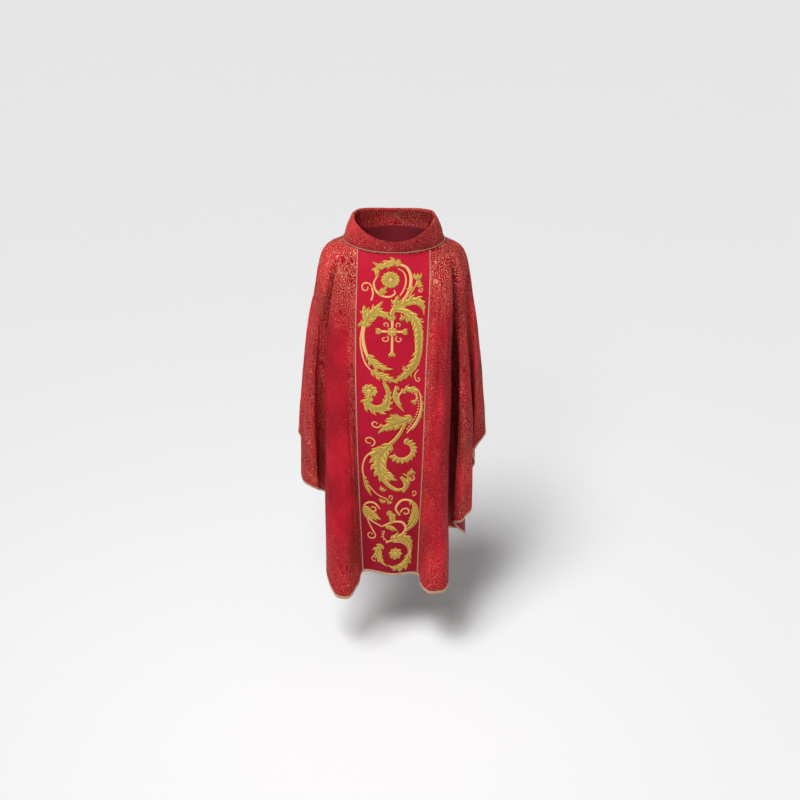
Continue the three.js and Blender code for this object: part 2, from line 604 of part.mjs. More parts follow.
const frontMotifs = {
  top_roundel: () => [
    scroll(-2, 73, 44, -215, 60, 44, 8),
    stroke([[-42, 52], [-30, 24], [2, 14], [30, 26]], 12, 18, 8),
    stroke([[34, 102], [28, 126], [20, 142]], 8, 10, 8),
  ],
  top_flower: () => [blossom(-5, 75, 27, 11)],
  bud_sprig: () => [
    stroke([[42, 138], [58, 118], [72, 88], [70, 48]], 5, 6, 5),
    stroke([[62, 104], [78, 98], [88, 84]], 8, 12, 3),
    stroke([[70, 62], [74, 48], [68, 34]], 8, 13, 3),
  ],
  upper_left_tendril: () => [
    scroll(-82, 118, 18, -20, -330, 8, 6),
    stroke([[-65, 112], [-60, 130], [-66, 144]], 5, 6, 5),
  ],
  upper_left_leaf: () => [
    stroke([[-14, 208], [-34, 186], [-62, 178], [-88, 214]], 10, 34, 10),
    stroke([[-60, 186], [-56, 168], [-48, 150]], 18, 16, 4),
    stroke([[-80, 196], [-94, 192], [-102, 202]], 12, 10, 4),
  ],
  upper_right_leaf: () => [
    stroke([[8, 172], [40, 161], [72, 166], [90, 194]], 14, 22, 8),
    stroke([[2, 180], [10, 170], [18, 162]], 12, 14, 8),
  ],
  wreath_left: () => [
    stroke([[-88, 232], [-94, 290], [-82, 350], [-52, 396]], 9, 13, 8),
    stroke([[-58, 362], [-40, 384], [-10, 392]], 10, 24, 6),
    stroke([[-52, 392], [-28, 420], [14, 426]], 8, 14, 8),
  ],
  wreath_right: () => [
    stroke([[30, 192], [64, 206], [86, 262], [85, 330], [60, 384], [22, 420]], 12, 28, 10),
    stroke([[92, 252], [99, 246], [102, 230]], 12, 10, 4),
    stroke([[90, 330], [97, 338], [98, 350]], 12, 8, 4),
  ],
  centre_cross: () => [
    stroke([[-2, 212], [-2, 354]], 10, 10, 10),
    stroke([[-46, 264], [42, 264]], 10, 10, 10),
    blossom(-2, 264, 17, 8),
  ],
  small_pendants: () => [
    stroke([[24, 206], [30, 218], [34, 230]], 4, 6, 10),
    stroke([[29, 214], [42, 226], [50, 240]], 4, 6, 10),
  ],
  left_flower_leaf: () => [
    blossom(-68, 484, 22, 9),
    stroke([[-60, 502], [-78, 536], [-52, 556], [-22, 540], [-12, 490], [-26, 452]], 8, 26, 6),
  ],
  right_loop: () => [scroll(54, 508, 35, 150, 400, 35, 7), stroke([[24, 524], [36, 552], [32, 580]], 8, 14, 4)],
  beaded_stem: () => [
    stroke([[58, 458], [94, 488], [98, 544], [74, 600], [44, 646]], 8, 15, 9),
    stroke([[52, 634], [30, 656], [8, 662]], 9, 16, 8),
  ],
  fan_leaf: () => [
    stroke([[66, 586], [20, 602], [-40, 628]], 10, 26, 6),
    stroke([[34, 596], [-4, 586], [-38, 590]], 16, 18, 5),
  ],
  petal_crescent: () => [scroll(34, 712, 42, -70, 150, 42, 26)],
  acanthus_scroll: () => [
    stroke([[0, 664], [-34, 716], [-42, 792], [-8, 856], [44, 870], [62, 826], [50, 790]], 10, 26, 10),
    stroke([[-36, 796], [-4, 822], [20, 812]], 12, 20, 4),
    stroke([[-44, 730], [-62, 744], [-64, 764]], 12, 14, 4),
  ],
  left_stem: () => [
    scroll(-68, 678, 17, 60, -220, 12, 6),
    stroke([[-58, 690], [-86, 734], [-96, 794], [-84, 856], [-66, 912]], 6, 13, 4),
  ],
  lower_right_scroll: () => [
    scroll(46, 932, 34, 40, -215, 26, 8),
    stroke([[62, 904], [88, 930], [92, 980], [74, 1030]], 10, 26, 6),
  ],
  lower_left_scroll: () => [
    scroll(-52, 962, 36, -70, -330, 34, 8),
    stroke([[-86, 946], [-62, 978], [-38, 984]], 14, 22, 6),
  ],
  middle_scroll: () => [
    scroll(26, 1014, 24, -200, 60, 24, 8),
    stroke([[-6, 962], [2, 994], [4, 1024]], 6, 16, 6),
  ],
  lower_left_tendril: () => [
    scroll(-72, 1074, 18, 20, 320, 9, 6),
    stroke([[-56, 1080], [-66, 1036], [-88, 1002]], 6, 7, 5),
  ],
  bottom_roundel: () => [
    scroll(26, 1144, 56, -200, 130, 50, 10),
    stroke([[60, 1088], [86, 1108], [78, 1150]], 12, 26, 6),
    stroke([[-58, 1112], [-42, 1144], [-16, 1186]], 8, 24, 8),
    stroke([[-20, 1184], [-8, 1196], [4, 1194]], 8, 12, 10),
  ],
  bottom_rosette: () => [blossom(18, 1146, 24, 7)],
};

function addEmbroidery() {
  for (const [name, strokes] of Object.entries(frontMotifs)) add(`embroidery_${name}`, motif(strokes()), 'gold');
}

// A plain cross on the back orphrey. The back is seen from the other side, so its drawing is turned round.
function addBackCross() {
  const arms = [
    stroke([[0, 240], [0, 560]], 22, 22, 22),
    stroke([[-84, 340], [84, 340]], 22, 22, 22),
    blossom(0, 340, 34, 8),
  ];
  add('back_embroidered_cross', motif(arms, backCentre), 'gold');
}

addPanels();
addLinings();
addInterfacings();
addShoulderTapes();
addNeckTape();
addCollar();
addPiping();
addGalloons();
addHemBindings();
addEmbroidery();
addBackCross();

export default chasuble;
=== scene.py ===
# The looks of the chasuble: cloth, linings, collar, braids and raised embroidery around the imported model.
# Metres, +Z up, the front towards -Y; embroidery is drawn in millimetres on the flat centre panel.
import math

import bpy
import numpy as np
from mathutils import Matrix, Vector


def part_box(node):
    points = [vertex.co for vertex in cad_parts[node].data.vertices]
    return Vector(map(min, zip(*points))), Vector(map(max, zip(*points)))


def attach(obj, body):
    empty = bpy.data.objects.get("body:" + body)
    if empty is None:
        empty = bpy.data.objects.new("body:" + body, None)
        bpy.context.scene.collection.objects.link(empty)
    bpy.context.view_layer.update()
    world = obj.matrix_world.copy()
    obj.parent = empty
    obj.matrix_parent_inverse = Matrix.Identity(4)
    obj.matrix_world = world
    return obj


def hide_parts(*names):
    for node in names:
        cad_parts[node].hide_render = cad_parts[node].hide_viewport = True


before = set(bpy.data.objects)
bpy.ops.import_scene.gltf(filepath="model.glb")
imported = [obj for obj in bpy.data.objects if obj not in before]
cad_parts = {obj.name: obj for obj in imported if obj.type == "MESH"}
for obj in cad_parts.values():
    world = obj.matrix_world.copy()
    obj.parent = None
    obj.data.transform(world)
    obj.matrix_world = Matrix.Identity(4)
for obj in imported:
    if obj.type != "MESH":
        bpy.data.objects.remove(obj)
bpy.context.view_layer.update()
print("frame loaded")

# The piping's model radius, and how far its outside stands from the line of the neck seam.
pipingLook = {
    "radius": 0.0016, "standOff": 0.0059, "slimness": 0.7, "lift": 0.001,
    "twist": 190, "strands": 2, "strandDepth": 0.10,
}
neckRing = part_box("collar_piping")

# The sizes of the cut, read from the model where it shows them.
size = {
    "neckHalfWidth": neckRing[1].x - pipingLook["standOff"],
    "neckFront": -neckRing[0].y - pipingLook["standOff"],
    "neckBack": neckRing[1].y - pipingLook["standOff"],
    "shoulderHalfWidth": 0.232,
    "frontHem": -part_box("front_orphrey_hem_binding")[0].z,
    "backHem": -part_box("back_orphrey_hem_binding")[0].z,
    "sideLength": 0.712,
    "hemHalfWidth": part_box("front_right_panel")[1].x,
    "orphreyHalfWidth": 0.118,
    "foldDepth": 0.100,
    "collarHeight": 0.072,
    "cloth": 0.0012,
    "lining": 0.0008,
    "interfacing": 0.0009,
    "gap": 0.0004,
}
hang = {
    "seamDrop": 0.0305, "seamTilt": 0.0085, "lengthDatum": 0.038, "yokeDrop": 0.112, "shoulderDrop": 0.064,
    "easeFront": 0.006, "easeBack": 0.010, "easeCentre": 0.018, "easeSeam": 0.002, "roundness": 0.85,
    "chestShare": 0.25, "middleShare": 0.58,    # of the way from the shoulder to the hem
}
frontLength = size["frontHem"] - hang["lengthDatum"]
backLength = size["backHem"] - hang["lengthDatum"]

# Fold lines from the centre panel's seam to the shoulder line: across (in hem half widths) and forward (in
# fold depths) at the chest, half way down and at the hem, and the drop of the hem (in lengths).
frontLeftFolds = [
    ((0.360, -1.63), (0.343, -1.80), (0.294, -2.00), 0.992),
    ((0.423, -1.66), (0.389, -2.05), (0.337, -2.50), 1.013),
    ((0.503, -1.62), (0.471, -2.22), (0.429, -3.00), 1.030),
    ((0.586, -1.45), (0.580, -2.08), (0.571, -2.90), 1.028),
    ((0.640, -1.18), (0.663, -1.60), (0.686, -2.20), 0.982),
    ((0.657, -0.92), (0.646, -1.00), (0.606, -1.05), 0.885),
    ((0.690, -0.84), (0.711, -0.90), (0.726, -0.84), 0.808),
    ((0.703, -0.74), (0.729, -0.70), (0.780, -0.46), 0.784),
    ((0.717, -0.71), (0.763, -0.72), (0.811, -0.56), 0.768),
    ((0.734, -0.70), (0.794, -1.00), (0.760, -1.12), 0.747),
    ((0.754, -0.58), (0.851, -0.96), (0.851, -1.05), 0.740),
    ((0.777, -0.36), (0.903, -0.52), (0.957, -0.55), 0.720),
    ((0.783, -0.16), (0.880, -0.18), (0.909, -0.18), 0.656),
]
frontRightFolds = [
    ((0.326, -1.63), (0.314, -1.80), (0.280, -2.00), 1.001),
    ((0.389, -1.65), (0.354, -2.02), (0.314, -2.48), 1.007),
    ((0.463, -1.58), (0.429, -2.12), (0.400, -2.90), 1.010),
    ((0.531, -1.40), (0.526, -2.00), (0.543, -2.85), 1.010),
    ((0.571, -1.12), (0.589, -1.52), (0.617, -2.22), 1.004),
    ((0.589, -0.88), (0.537, -0.92), (0.543, -0.95), 0.958),
    ((0.617, -0.76), (0.589, -0.66), (0.663, -0.52), 0.935),
    ((0.640, -0.72), (0.634, -0.92), (0.611, -1.12), 0.864),
    ((0.680, -0.66), (0.720, -1.12), (0.737, -1.28), 0.846),
    ((0.720, -0.50), (0.806, -0.80), (0.849, -0.80), 0.826),
    ((0.749, -0.26), (0.777, -0.20), (0.794, -0.06), 0.726),
    ((0.777, -0.14), (0.857, -0.34), (0.857, -0.34), 0.640),
]
backFolds = [
    ((0.343, 1.50), (0.343, 1.68), (0.337, 1.78), 0.994),
    ((0.429, 1.52), (0.417, 1.96), (0.414, 2.35), 1.000),
    ((0.520, 1.40), (0.526, 2.05), (0.537, 2.62), 0.989),
    ((0.589, 1.18), (0.634, 1.65), (0.680, 1.90), 0.944),
    ((0.629, 0.92), (0.634, 0.96), (0.649, 1.02), 0.876),
    ((0.680, 0.78), (0.749, 1.12), (0.789, 1.22), 0.798),
    ((0.726, 0.56), (0.834, 0.86), (0.903, 0.84), 0.722),
    ((0.760, 0.28), (0.857, 0.30), (0.874, 0.26), 0.652),
]
centreDepths = {"front": (0.176, 0.190, 0.205), "back": (0.158, 0.172, 0.182)}
shoulderLineWidths = (0.79, 0.90)


# A point of the neck seam; the angle is 0 at the centre front and grows towards the right.
def neckSeam(angle):
    reach = size["neckFront"] if math.cos(angle) > 0 else size["neckBack"]
    height = -hang["seamDrop"] - hang["seamTilt"] * math.cos(angle)
    return (size["neckHalfWidth"] * math.sin(angle), -reach * math.cos(angle), height)


def heightAt(share, top, hem):
    return top + (hem - top) * share


# One fold line from the neck to the hem; share is its place between the panel's seam and the shoulder line.
def foldLine(fold, side, facing, share, length):
    chest, middle, hem, drop = fold
    seamAngle = math.asin(size["orphreyHalfWidth"] / size["neckHalfWidth"])
    angle = seamAngle + share * (math.pi / 2 - seamAngle)
    neck = neckSeam(side * (angle if facing < 0 else math.pi - angle))
    turn = share * math.pi / 2
    depth = size["neckFront"] + hang["easeFront"]
    if facing > 0:
        depth = size["neckBack"] + hang["easeBack"]
    inner = size["orphreyHalfWidth"] + hang["easeSeam"]
    width = inner + (size["shoulderHalfWidth"] - inner) * math.sin(turn)
    top = -(hang["yokeDrop"] + (hang["shoulderDrop"] - hang["yokeDrop"]) * share)
    shoulder = (side * width, facing * depth * math.cos(turn) ** hang["roundness"], top)
    hemHeight = -hang["lengthDatum"] - length * drop

    def place(spot, height):
        return (side * spot[0] * size["hemHalfWidth"], spot[1] * size["foldDepth"], height)

    return [neck, shoulder, place(chest, heightAt(hang["chestShare"], top, hemHeight)),
            place(middle, heightAt(hang["middleShare"], top, hemHeight)), place(hem, hemHeight)]


def foldLines(folds, side, facing, length):
    return [foldLine(fold, side, facing, i / len(folds), length) for i, fold in enumerate(folds)]


def centreLine(facing, depths, length):
    neck = neckSeam(0 if facing < 0 else math.pi)
    hemHeight = -hang["lengthDatum"] - length
    reach = (size["neckFront"] if facing < 0 else size["neckBack"]) + hang["easeCentre"]
    shares = (0, hang["chestShare"], hang["middleShare"], 1)
    return [neck] + [(0, facing * forward, heightAt(share, -hang["yokeDrop"], hemHeight))
                     for forward, share in zip((reach, *depths), shares)]


def shoulderLine(side):
    widths = (size["shoulderHalfWidth"], *(size["hemHalfWidth"] * w for w in (*shoulderLineWidths, 1)))
    shares = (0, hang["chestShare"], hang["middleShare"], 1)
    return [neckSeam(side * math.pi / 2)] + [
        (side * width, 0, -hang["shoulderDrop"] - size["sideLength"] * share)
        for width, share in zip(widths, shares)]


# The drape is one surface: u counts fold lines round from the centre front, v counts rows from the neck.
foldGrid = np.array([
    centreLine(-1, centreDepths["front"], frontLength),
    *foldLines(frontRightFolds, 1, -1, frontLength),
    shoulderLine(1),
    *reversed(foldLines(backFolds, 1, 1, backLength)),
    centreLine(1, centreDepths["back"], backLength),
    *foldLines(backFolds, -1, 1, backLength),
    shoulderLine(-1),
    *reversed(foldLines(frontLeftFolds, -1, -1, frontLength)),
]).transpose(1, 0, 2)
lineCount = foldGrid.shape[1]
frontSeam = 1
rightShoulder = len(frontRightFolds) + 1
backSeam = rightShoulder + len(backFolds)
backCentre = backSeam + 1
leftShoulder = lineCount - len(frontLeftFolds) - 1
neckEdge = 0.03     # where the cloth starts, in rows
hemEdge = 3.976     # and where it ends, inside its binding
shortest = 1e-4     # stretches under this count as none


# One stretch of a centripetal Catmull-Rom curve through b and c.
def smoothStep(a, b, c, d, part):
    def span(p, q):
        return np.sqrt(np.linalg.norm(q - p, axis=-1, keepdims=True))

    first, second, third = span(a, b), span(b, c), span(c, d)
    second = np.where(second < shortest, 1, second)
    first = np.where(first < shortest, second, first)
    third = np.where(third < shortest, second, third)
    start = ((b - a) / first - (c - a) / (first + second) + (c - b) / second) * second
    end = ((c - b) / second - (d - b) / (second + third) + (d - c) / third) * second
    return (b + start * part + (3 * (c - b) - 2 * start - end) * part ** 2
            + (2 * (b - c) + start + end) * part ** 3)


def drapeBase(u, v):
    u = np.mod(np.asarray(u, float), lineCount)
    line = np.floor(u).astype(int) % lineCount
    part = (u - np.floor(u))[..., None]
    rows = [smoothStep(*(row[(line + k) % lineCount] for k in (-1, 0, 1, 2)), part) for row in foldGrid]
    rows = [2 * rows[0] - rows[1], *rows, 2 * rows[4] - rows[3]]
    stack = np.stack(rows)
    step = np.clip(np.floor(v).astype(int), 0, 3)
    places = np.indices(step.shape)
    corners = [stack[(step + k, *places)] for k in range(4)]
    return smoothStep(*corners, (np.clip(v, 0, 4) - step)[..., None])


def outward(u, v):
    step = 0.02
    across = drapeBase(u + step, v) - drapeBase(u - step, v)
    down = drapeBase(u, np.minimum(v + step, 4)) - drapeBase(u, np.maximum(v - step, 0))
    normal = np.cross(down, across)
    return normal / np.linalg.norm(normal, axis=-1, keepdims=True)


# Smooth seeded waves around and down the cloth, from -1 to 1.
def waves(u, v, seed, aroundCells, downCells):
    lattice = np.random.default_rng(seed).uniform(-1, 1, (aroundCells, downCells + 2))
    a = np.mod(u, lineCount) / lineCount * aroundCells
    b = np.clip(v, 0, 4) / 4 * downCells
    i, j = np.floor(a).astype(int), np.floor(b).astype(int)
    s, t = a - i, b - j
    s, t = s * s * (3 - 2 * s), t * t * (3 - 2 * t)
    i, k = i % aroundCells, (i + 1) % aroundCells
    top = lattice[i, j] * (1 - s) + lattice[k, j] * s
    low = lattice[i, j + 1] * (1 - s) + lattice[k, j + 1] * s
    return top * (1 - t) + low * t


creaseLook = {
    "folds": 0.0050, "wrinkles": 0.0017, "pucker": 0.0006, "pressing": 0.0013, "sag": 0.0009,
    "puckerReach": 0.25, "pressedRow": 2.64, "pressedReach": 0.012,
}

# Valleys between the rolls: the fold line, how deep in metres and how many lines wide.
valleys = {
    7.2: (0.046, 0.85), 11: (0.015, 0.45), 17.5: (0.011, 0.45), 26.5: (0.011, 0.45),
    lineCount - 7.1: (0.044, 0.75),
}


# 0 below low, 1 above high, smooth between
def rise(value, low, high):
    share = np.clip((value - low) / (high - low), 0, 1)
    return share * share * (3 - 2 * share)


# How far into one of the valleys between the rolls a place is, from 0 to 1.
def inValley(u, v, line):
    return np.exp(-((np.mod(u, lineCount) - line) / valleys[line][1]) ** 2) * rise(v, 0.6, 1.8)


# How far the cloth stands off the smooth drape: folds, wrinkles, puckered seams and an old crease.
def creases(u, v):
    v = np.asarray(v, float)
    place = np.mod(u, lineCount)
    fromCentre = np.minimum(np.minimum(place, lineCount - place), np.abs(place - backCentre))
    side = rise(fromCentre, 0.95, 2.6)
    hangs = rise(v, 0.5, 2.6)
    look = creaseLook
    depth = side * hangs * look["folds"] * waves(u, v, 4, lineCount * 2, 5)
    depth += (0.25 + 0.75 * side) * look["wrinkles"] * waves(u, v, 9, lineCount * 4, 13) * rise(v, 0.1, 1)
    depth += (1 - side) * look["sag"] * hangs * waves(u, v, 15, lineCount, 6)
    toSeam = np.abs(fromCentre - 1)
    depth += look["pucker"] * waves(u, v, 21, lineCount, 120) * np.exp(-(toSeam / look["puckerReach"]) ** 2)
    toCrease = (v - look["pressedRow"] - 0.03 * waves(u, v, 33, 30, 1)) / look["pressedReach"]
    depth -= look["pressing"] * np.exp(-toCrease ** 2) * (place < rightShoulder)
    depth -= look["pressing"] * np.exp(-toCrease ** 2) * (place > leftShoulder)
    for line, (deep, _reach) in valleys.items():
        depth -= deep * inValley(u, v, line)
    return depth * rise(v, 0.03, 0.3)


# A place on a layer of cloth; offset is its distance outwards from the face of the panels.
def clothAt(u, v, offset):
    u, v = np.asarray(u, float), np.asarray(v, float)
    return drapeBase(u, v) + outward(u, v) * (creases(u, v) + offset)[..., None]


clothInner = -size["cloth"]
interfacingOuter = clothInner - size["gap"]
interfacingInner = interfacingOuter - size["interfacing"]
liningOuter = interfacingInner - size["gap"]
liningInner = liningOuter - size["lining"]


# One socket that can be added, subtracted, multiplied and divided; each step becomes a Math node.
class Wire:
    def __init__(self, graph, socket):
        self.graph, self.socket = graph, socket

    def math(self, operation, *others):
        return self.graph.node("ShaderNodeMath", {"operation": operation}, *[self, *others])

    def __add__(self, other):
        return self.math("ADD", other)

    def __sub__(self, other):
        return self.math("SUBTRACT", other)

    def __mul__(self, other):
        return self.math("MULTIPLY", other)

    def __truediv__(self, other):
        return self.math("DIVIDE", other)

    def __radd__(self, other):
        return self.math("ADD", other)

    def __rmul__(self, other):
        return self.math("MULTIPLY", other)

    def __rsub__(self, other):
        return self.graph.node("ShaderNodeMath", {"operation": "SUBTRACT"}, other, self)

    def sine(self):
        return self.math("SINE")

    def size(self):
        return self.math("ABSOLUTE")

    def fraction(self):
        return self.math("FRACT")

    # 0 below low, 1 above high, smooth between
    def ramp(self, low, high):
        settings = {"interpolation_type": "SMOOTHSTEP"}
        return self.graph.node("ShaderNodeMapRange", settings, self, low, high, 0.0, 1.0)


class Graph:
    def __init__(self, owner):
        owner.use_nodes = True
        self.owner = owner
        self.tree = owner.node_tree

    # Adds a node: settings first, then values or links for its sockets in order or by name.
    def node(self, kind, settings=None, *inputs, output=0, **named):
        made = self.tree.nodes.new(kind)
        for key, value in (settings or {}).items():
            setattr(made, key, value)
        for key, value in [*enumerate(inputs), *named.items()]:
            if value is not None:
                self.feed(made.inputs[key], value)
        return Wire(self, made.outputs[output])

    def feed(self, socket, value):
        if isinstance(value, Wire):
            self.tree.links.new(value.socket, socket)
        elif isinstance(value, tuple) and len(value) == 3:
            socket.default_value = (*value, 1.0)
        else:
            socket.default_value = value

    # The colours of a Mix node are its seventh and eighth sockets, and its third output.
    def mix(self, factor, a, b):
        return self.node("ShaderNodeMix", {"data_type": "RGBA"}, factor, *[None] * 5, a, b, output=2)

    def noise(self, vector, scale, detail=2.0):
        return self.node("ShaderNodeTexNoise", None, Vector=vector, Scale=scale, Detail=detail)

    def vector(self, x, y):
        return self.node("ShaderNodeCombineXYZ", None, x, y)

    # The cloth's own coordinates in metres: both together, across and down.
    def places(self):
        uv = self.node("ShaderNodeUVMap", {"uv_map": "cloth"})
        across = self.node("ShaderNodeSeparateXYZ", None, uv, output="X")
        return uv, across, Wire(self, across.socket.node.outputs["Y"])

    def attribute(self, name):
        return self.node("ShaderNodeAttribute", {"attribute_name": name}, output="Fac")

    def bump(self, height, distance, strength):
        return self.node("ShaderNodeBump", None, Strength=strength, Distance=distance, Height=height)

    def finish(self, **inputs):
        for key, value in inputs.items():
            self.feed(self.tree.nodes["Principled BSDF"].inputs[key.replace("_", " ")], value)
        return self.owner


def newMaterial(name):
    return Graph(bpy.data.materials.new(name))


# Threads crossing at the pitch of one thread.
def weave(x, y, thread):
    turn = 2 * math.pi / thread
    return (x * turn).sine() * (y * turn).sine()


damaskLook = {
    "red": (0.50, 0.008, 0.024), "deepRed": (0.27, 0.003, 0.013), "gold": (0.92, 0.50, 0.27),
    "paintedShadeRed": (0.10, 0.0015, 0.006), "bend": 0.030,
    "tileWidth": 0.130, "tileHeight": 0.185, "medallion": 0.040, "medallionEdge": 0.003,
    "petals": 8.0, "petalDepth": 0.0035, "ringGap": 0.0095, "curls": 46.0, "curlTurns": 30.0,
    "worn": 150.0, "glitter": 420.0, "thread": 0.0011,
}


def damaskMaterial():
    graph = newMaterial("damask")
    look = damaskLook
    uv, x, y = graph.places()
    rich = graph.attribute("richness")
    warp = graph.noise(uv, 13.0, 2.0) - 0.5
    side = graph.noise(uv, 17.0, 2.0) - 0.5
    bentX = x + warp * look["bend"]
    bentY = y + side * look["bend"]
    column = bentX / look["tileWidth"]
    odd = (column.math("FLOOR") * 0.5).fraction()    # every other column hangs half a tile lower
    cellX = column.fraction() - 0.5
    cellY = (bentY / look["tileHeight"] + odd).fraction() - 0.5
    reachX = cellX * look["tileWidth"]
    reachY = cellY * look["tileHeight"]
    radius = (reachX * reachX + reachY * reachY).math("SQRT")
    angle = reachY.math("ARCTAN2", reachX)
    petals = radius + (angle * look["petals"]).sine() * look["petalDepth"]
    rings = (petals * (2 * math.pi / look["ringGap"])).sine()
    inMedallion = 1.0 - radius.ramp(look["medallion"] - look["medallionEdge"], look["medallion"])
    lattice = (cellX * 2 * math.pi).math("COSINE") + (cellY * 2 * math.pi).math("COSINE")
    ogee = (1.0 - lattice.size().ramp(0.04, 0.12)) * 0.3
    bent = graph.vector(bentX + warp * 0.02, bentY + side * 0.02)
    cells = graph.node("ShaderNodeTexVoronoi", {"feature": "F1"}, Vector=bent, Scale=look["curls"])
    curls = (cells * look["curlTurns"] + (angle * 3.0).sine() * 0.5).sine()
    leafage = curls.ramp(0.45, 0.85)
    figure = rings.ramp(0.40, 0.85) * inMedallion + leafage * (1.0 - inMedallion)
    figure = figure.math("MAXIMUM", ogee).math("MINIMUM", 1.0)
    broken = graph.noise(uv, look["worn"], 3.0).ramp(0.38, 0.62)
    sparkle = graph.noise(uv, look["glitter"], 1.0).ramp(0.42, 0.66)
    gold = (figure * (broken * 0.75 + 0.25) * (sparkle * 0.7 + 0.3) * rich * 1.35).math("MINIMUM", 1.0)
    drift = graph.noise(uv, 5.0, 3.0)
    ground = graph.mix(drift.ramp(0.35, 0.7), look["deepRed"], look["red"])
    ground = graph.mix(figure * 0.35, ground, look["red"])
    # Painted shade: the red darkens in the valleys between the rolls and on the collar's front.
    ground = graph.mix(graph.attribute("paintedShade") * 0.85, ground, look["paintedShadeRed"])
    colour = graph.mix(gold * 0.9, ground, look["gold"])
    threads = weave(x, y, look["thread"])
    height = figure * 0.5 + threads * 0.3 + broken * 0.3
    return graph.finish(
        Base_Color=colour, Roughness=0.62 - gold * 0.24, Metallic=gold * 0.35,
        Normal=graph.bump(height, 0.0006, 0.55), Specular_IOR_Level=0.08)


satinLook = {
    "shade": (0.37, 0.003, 0.019), "red": (0.47, 0.005, 0.027), "shine": (0.60, 0.02, 0.055),
    "hemShade": (0.16, 0.001, 0.008), "hemShadeDepth": 0.62, "thread": 0.0009,
}


# Plain red satin, streaked down its warp with painted sheen, and darkened towards its hem by painted shade.
def satinMaterial():
    graph = newMaterial("satin")
    look = satinLook
    uv, x, y = graph.places()
    cloudy = graph.noise(uv, 6.0, 3.0)
    streaks = graph.noise(graph.vector(x * 900.0, y * 40.0), 1.0, 2.0)
    colour = graph.mix(cloudy.ramp(0.3, 0.75), look["shade"], look["red"])
    colour = graph.mix(streaks * 0.22, colour, look["shine"])
    colour = graph.mix(y.ramp(0.40, 1.30) * look["hemShadeDepth"], colour, look["hemShade"])
    slub = weave(x + y * 0.5, y, look["thread"])
    return graph.finish(
        Base_Color=colour, Roughness=0.44 + streaks * 0.10,
        Normal=graph.bump(slub + streaks, 0.0003, 0.4), Specular_IOR_Level=0.10, Anisotropic=0.4)


liningLook = {"shade": (0.23, 0.006, 0.016), "light": (0.36, 0.014, 0.028), "thread": 0.0008}


def liningMaterial():
    graph = newMaterial("lining")
    uv, x, y = graph.places()
    cloudy = graph.noise(uv, 7.0, 3.0)
    colour = graph.mix(cloudy, liningLook["shade"], liningLook["light"])
    threads = weave(x, y, liningLook["thread"])
    return graph.finish(
        Base_Color=colour, Roughness=0.78 + cloudy * 0.1, Normal=graph.bump(threads, 0.0002, 0.5))


canvasLook = {"shade": (0.62, 0.54, 0.40), "light": (0.82, 0.75, 0.62), "thread": 0.0016}


def canvasMaterial():
    graph = newMaterial("canvas")
    uv, x, y = graph.places()
    slub = graph.noise(graph.vector(x * 300.0, y * 60.0), 1.0, 2.0)
    colour = graph.mix(slub, canvasLook["shade"], canvasLook["light"])
    height = weave(x, y, canvasLook["thread"]) + slub
    return graph.finish(Base_Color=colour, Roughness=0.9, Normal=graph.bump(height, 0.0004, 0.6))


braidLook = {
    "shade": (0.40, 0.18, 0.11), "light": (0.84, 0.56, 0.38), "worn": (0.50, 0.20, 0.12),
    "twist": 0.0032, "thread": 0.0009,
}


def braidMaterial():
    graph = newMaterial("braid")
    look = braidLook
    uv, x, y = graph.places()
    twist = ((x * 0.8 + y) * (2 * math.pi / look["twist"])).sine()
    threads = ((x * 1.0 - y * 0.6) * (2 * math.pi / look["thread"])).sine()
    wear = graph.noise(uv, 60.0, 3.0)
    colour = graph.mix(twist.ramp(-0.6, 0.7), look["shade"], look["light"])
    colour = graph.mix(wear.ramp(0.5, 0.75) * 0.5, colour, look["worn"])
    return graph.finish(
        Base_Color=colour, Roughness=0.36 + wear * 0.2, Metallic=0.55,
        Normal=graph.bump(twist * 0.7 + threads * 0.4, 0.0005, 0.7))


stitchLook = {
    "pale": (0.84, 0.42, 0.15), "gold": (0.70, 0.46, 0.05), "olive": (0.33, 0.19, 0.015),
    "light": (0.95, 0.78, 0.24), "pitch": 0.0016, "slant": 0.0035, "glints": 120.0,
}


# Metal thread laid side by side: the tone attribute is 0 on pale stems and 1 on olive and gold leaves.
def goldStitchMaterial():
    graph = newMaterial("goldStitch")
    look = stitchLook
    uv, along, across = graph.places()
    tone = graph.attribute("tone")
    edge = across.size()
    slant = along + across * look["slant"]
    stitches = (slant * (2 * math.pi / look["pitch"])).sine()
    patches = graph.noise(uv, 55.0, 3.0)
    # Olive in the middle of a stroke and gold towards its edges, varied by patches: partly the threads' own
    # tones, partly painted shade.
    leaf = graph.mix((patches - 0.5 + edge * 0.75).ramp(0.10, 0.60), look["olive"], look["gold"])
    colour = graph.mix(tone, look["pale"], leaf)
    # Painted highlights: random glints, the crest of each stitch and the outer edges of a stroke turn
    # towards the light gold.
    glints = graph.noise(uv, look["glints"], 2.0).ramp(0.52, 0.70)
    colour = graph.mix(glints * 0.6 + stitches.ramp(0.2, 1.0) * 0.2, colour, look["light"])
    colour = graph.mix(edge.ramp(0.86, 1.0) * 0.30, colour, look["light"])
    height = stitches * 0.6 + patches * 0.5 - (1.0 - edge.ramp(0.0, 0.10)) * tone * 0.8
    return graph.finish(
        Base_Color=colour, Roughness=0.42 + patches * 0.15, Metallic=tone * 0.15 + 0.15,
        Normal=graph.bump(height, 0.0006, 0.7), Sheen_Weight=0.2, Sheen_Roughness=0.3)


materials = {
    "damask": damaskMaterial(), "satin": satinMaterial(), "lining": liningMaterial(),
    "canvas": canvasMaterial(), "braid": braidMaterial(), "gold_stitch": goldStitchMaterial(),
}
print("materials made")


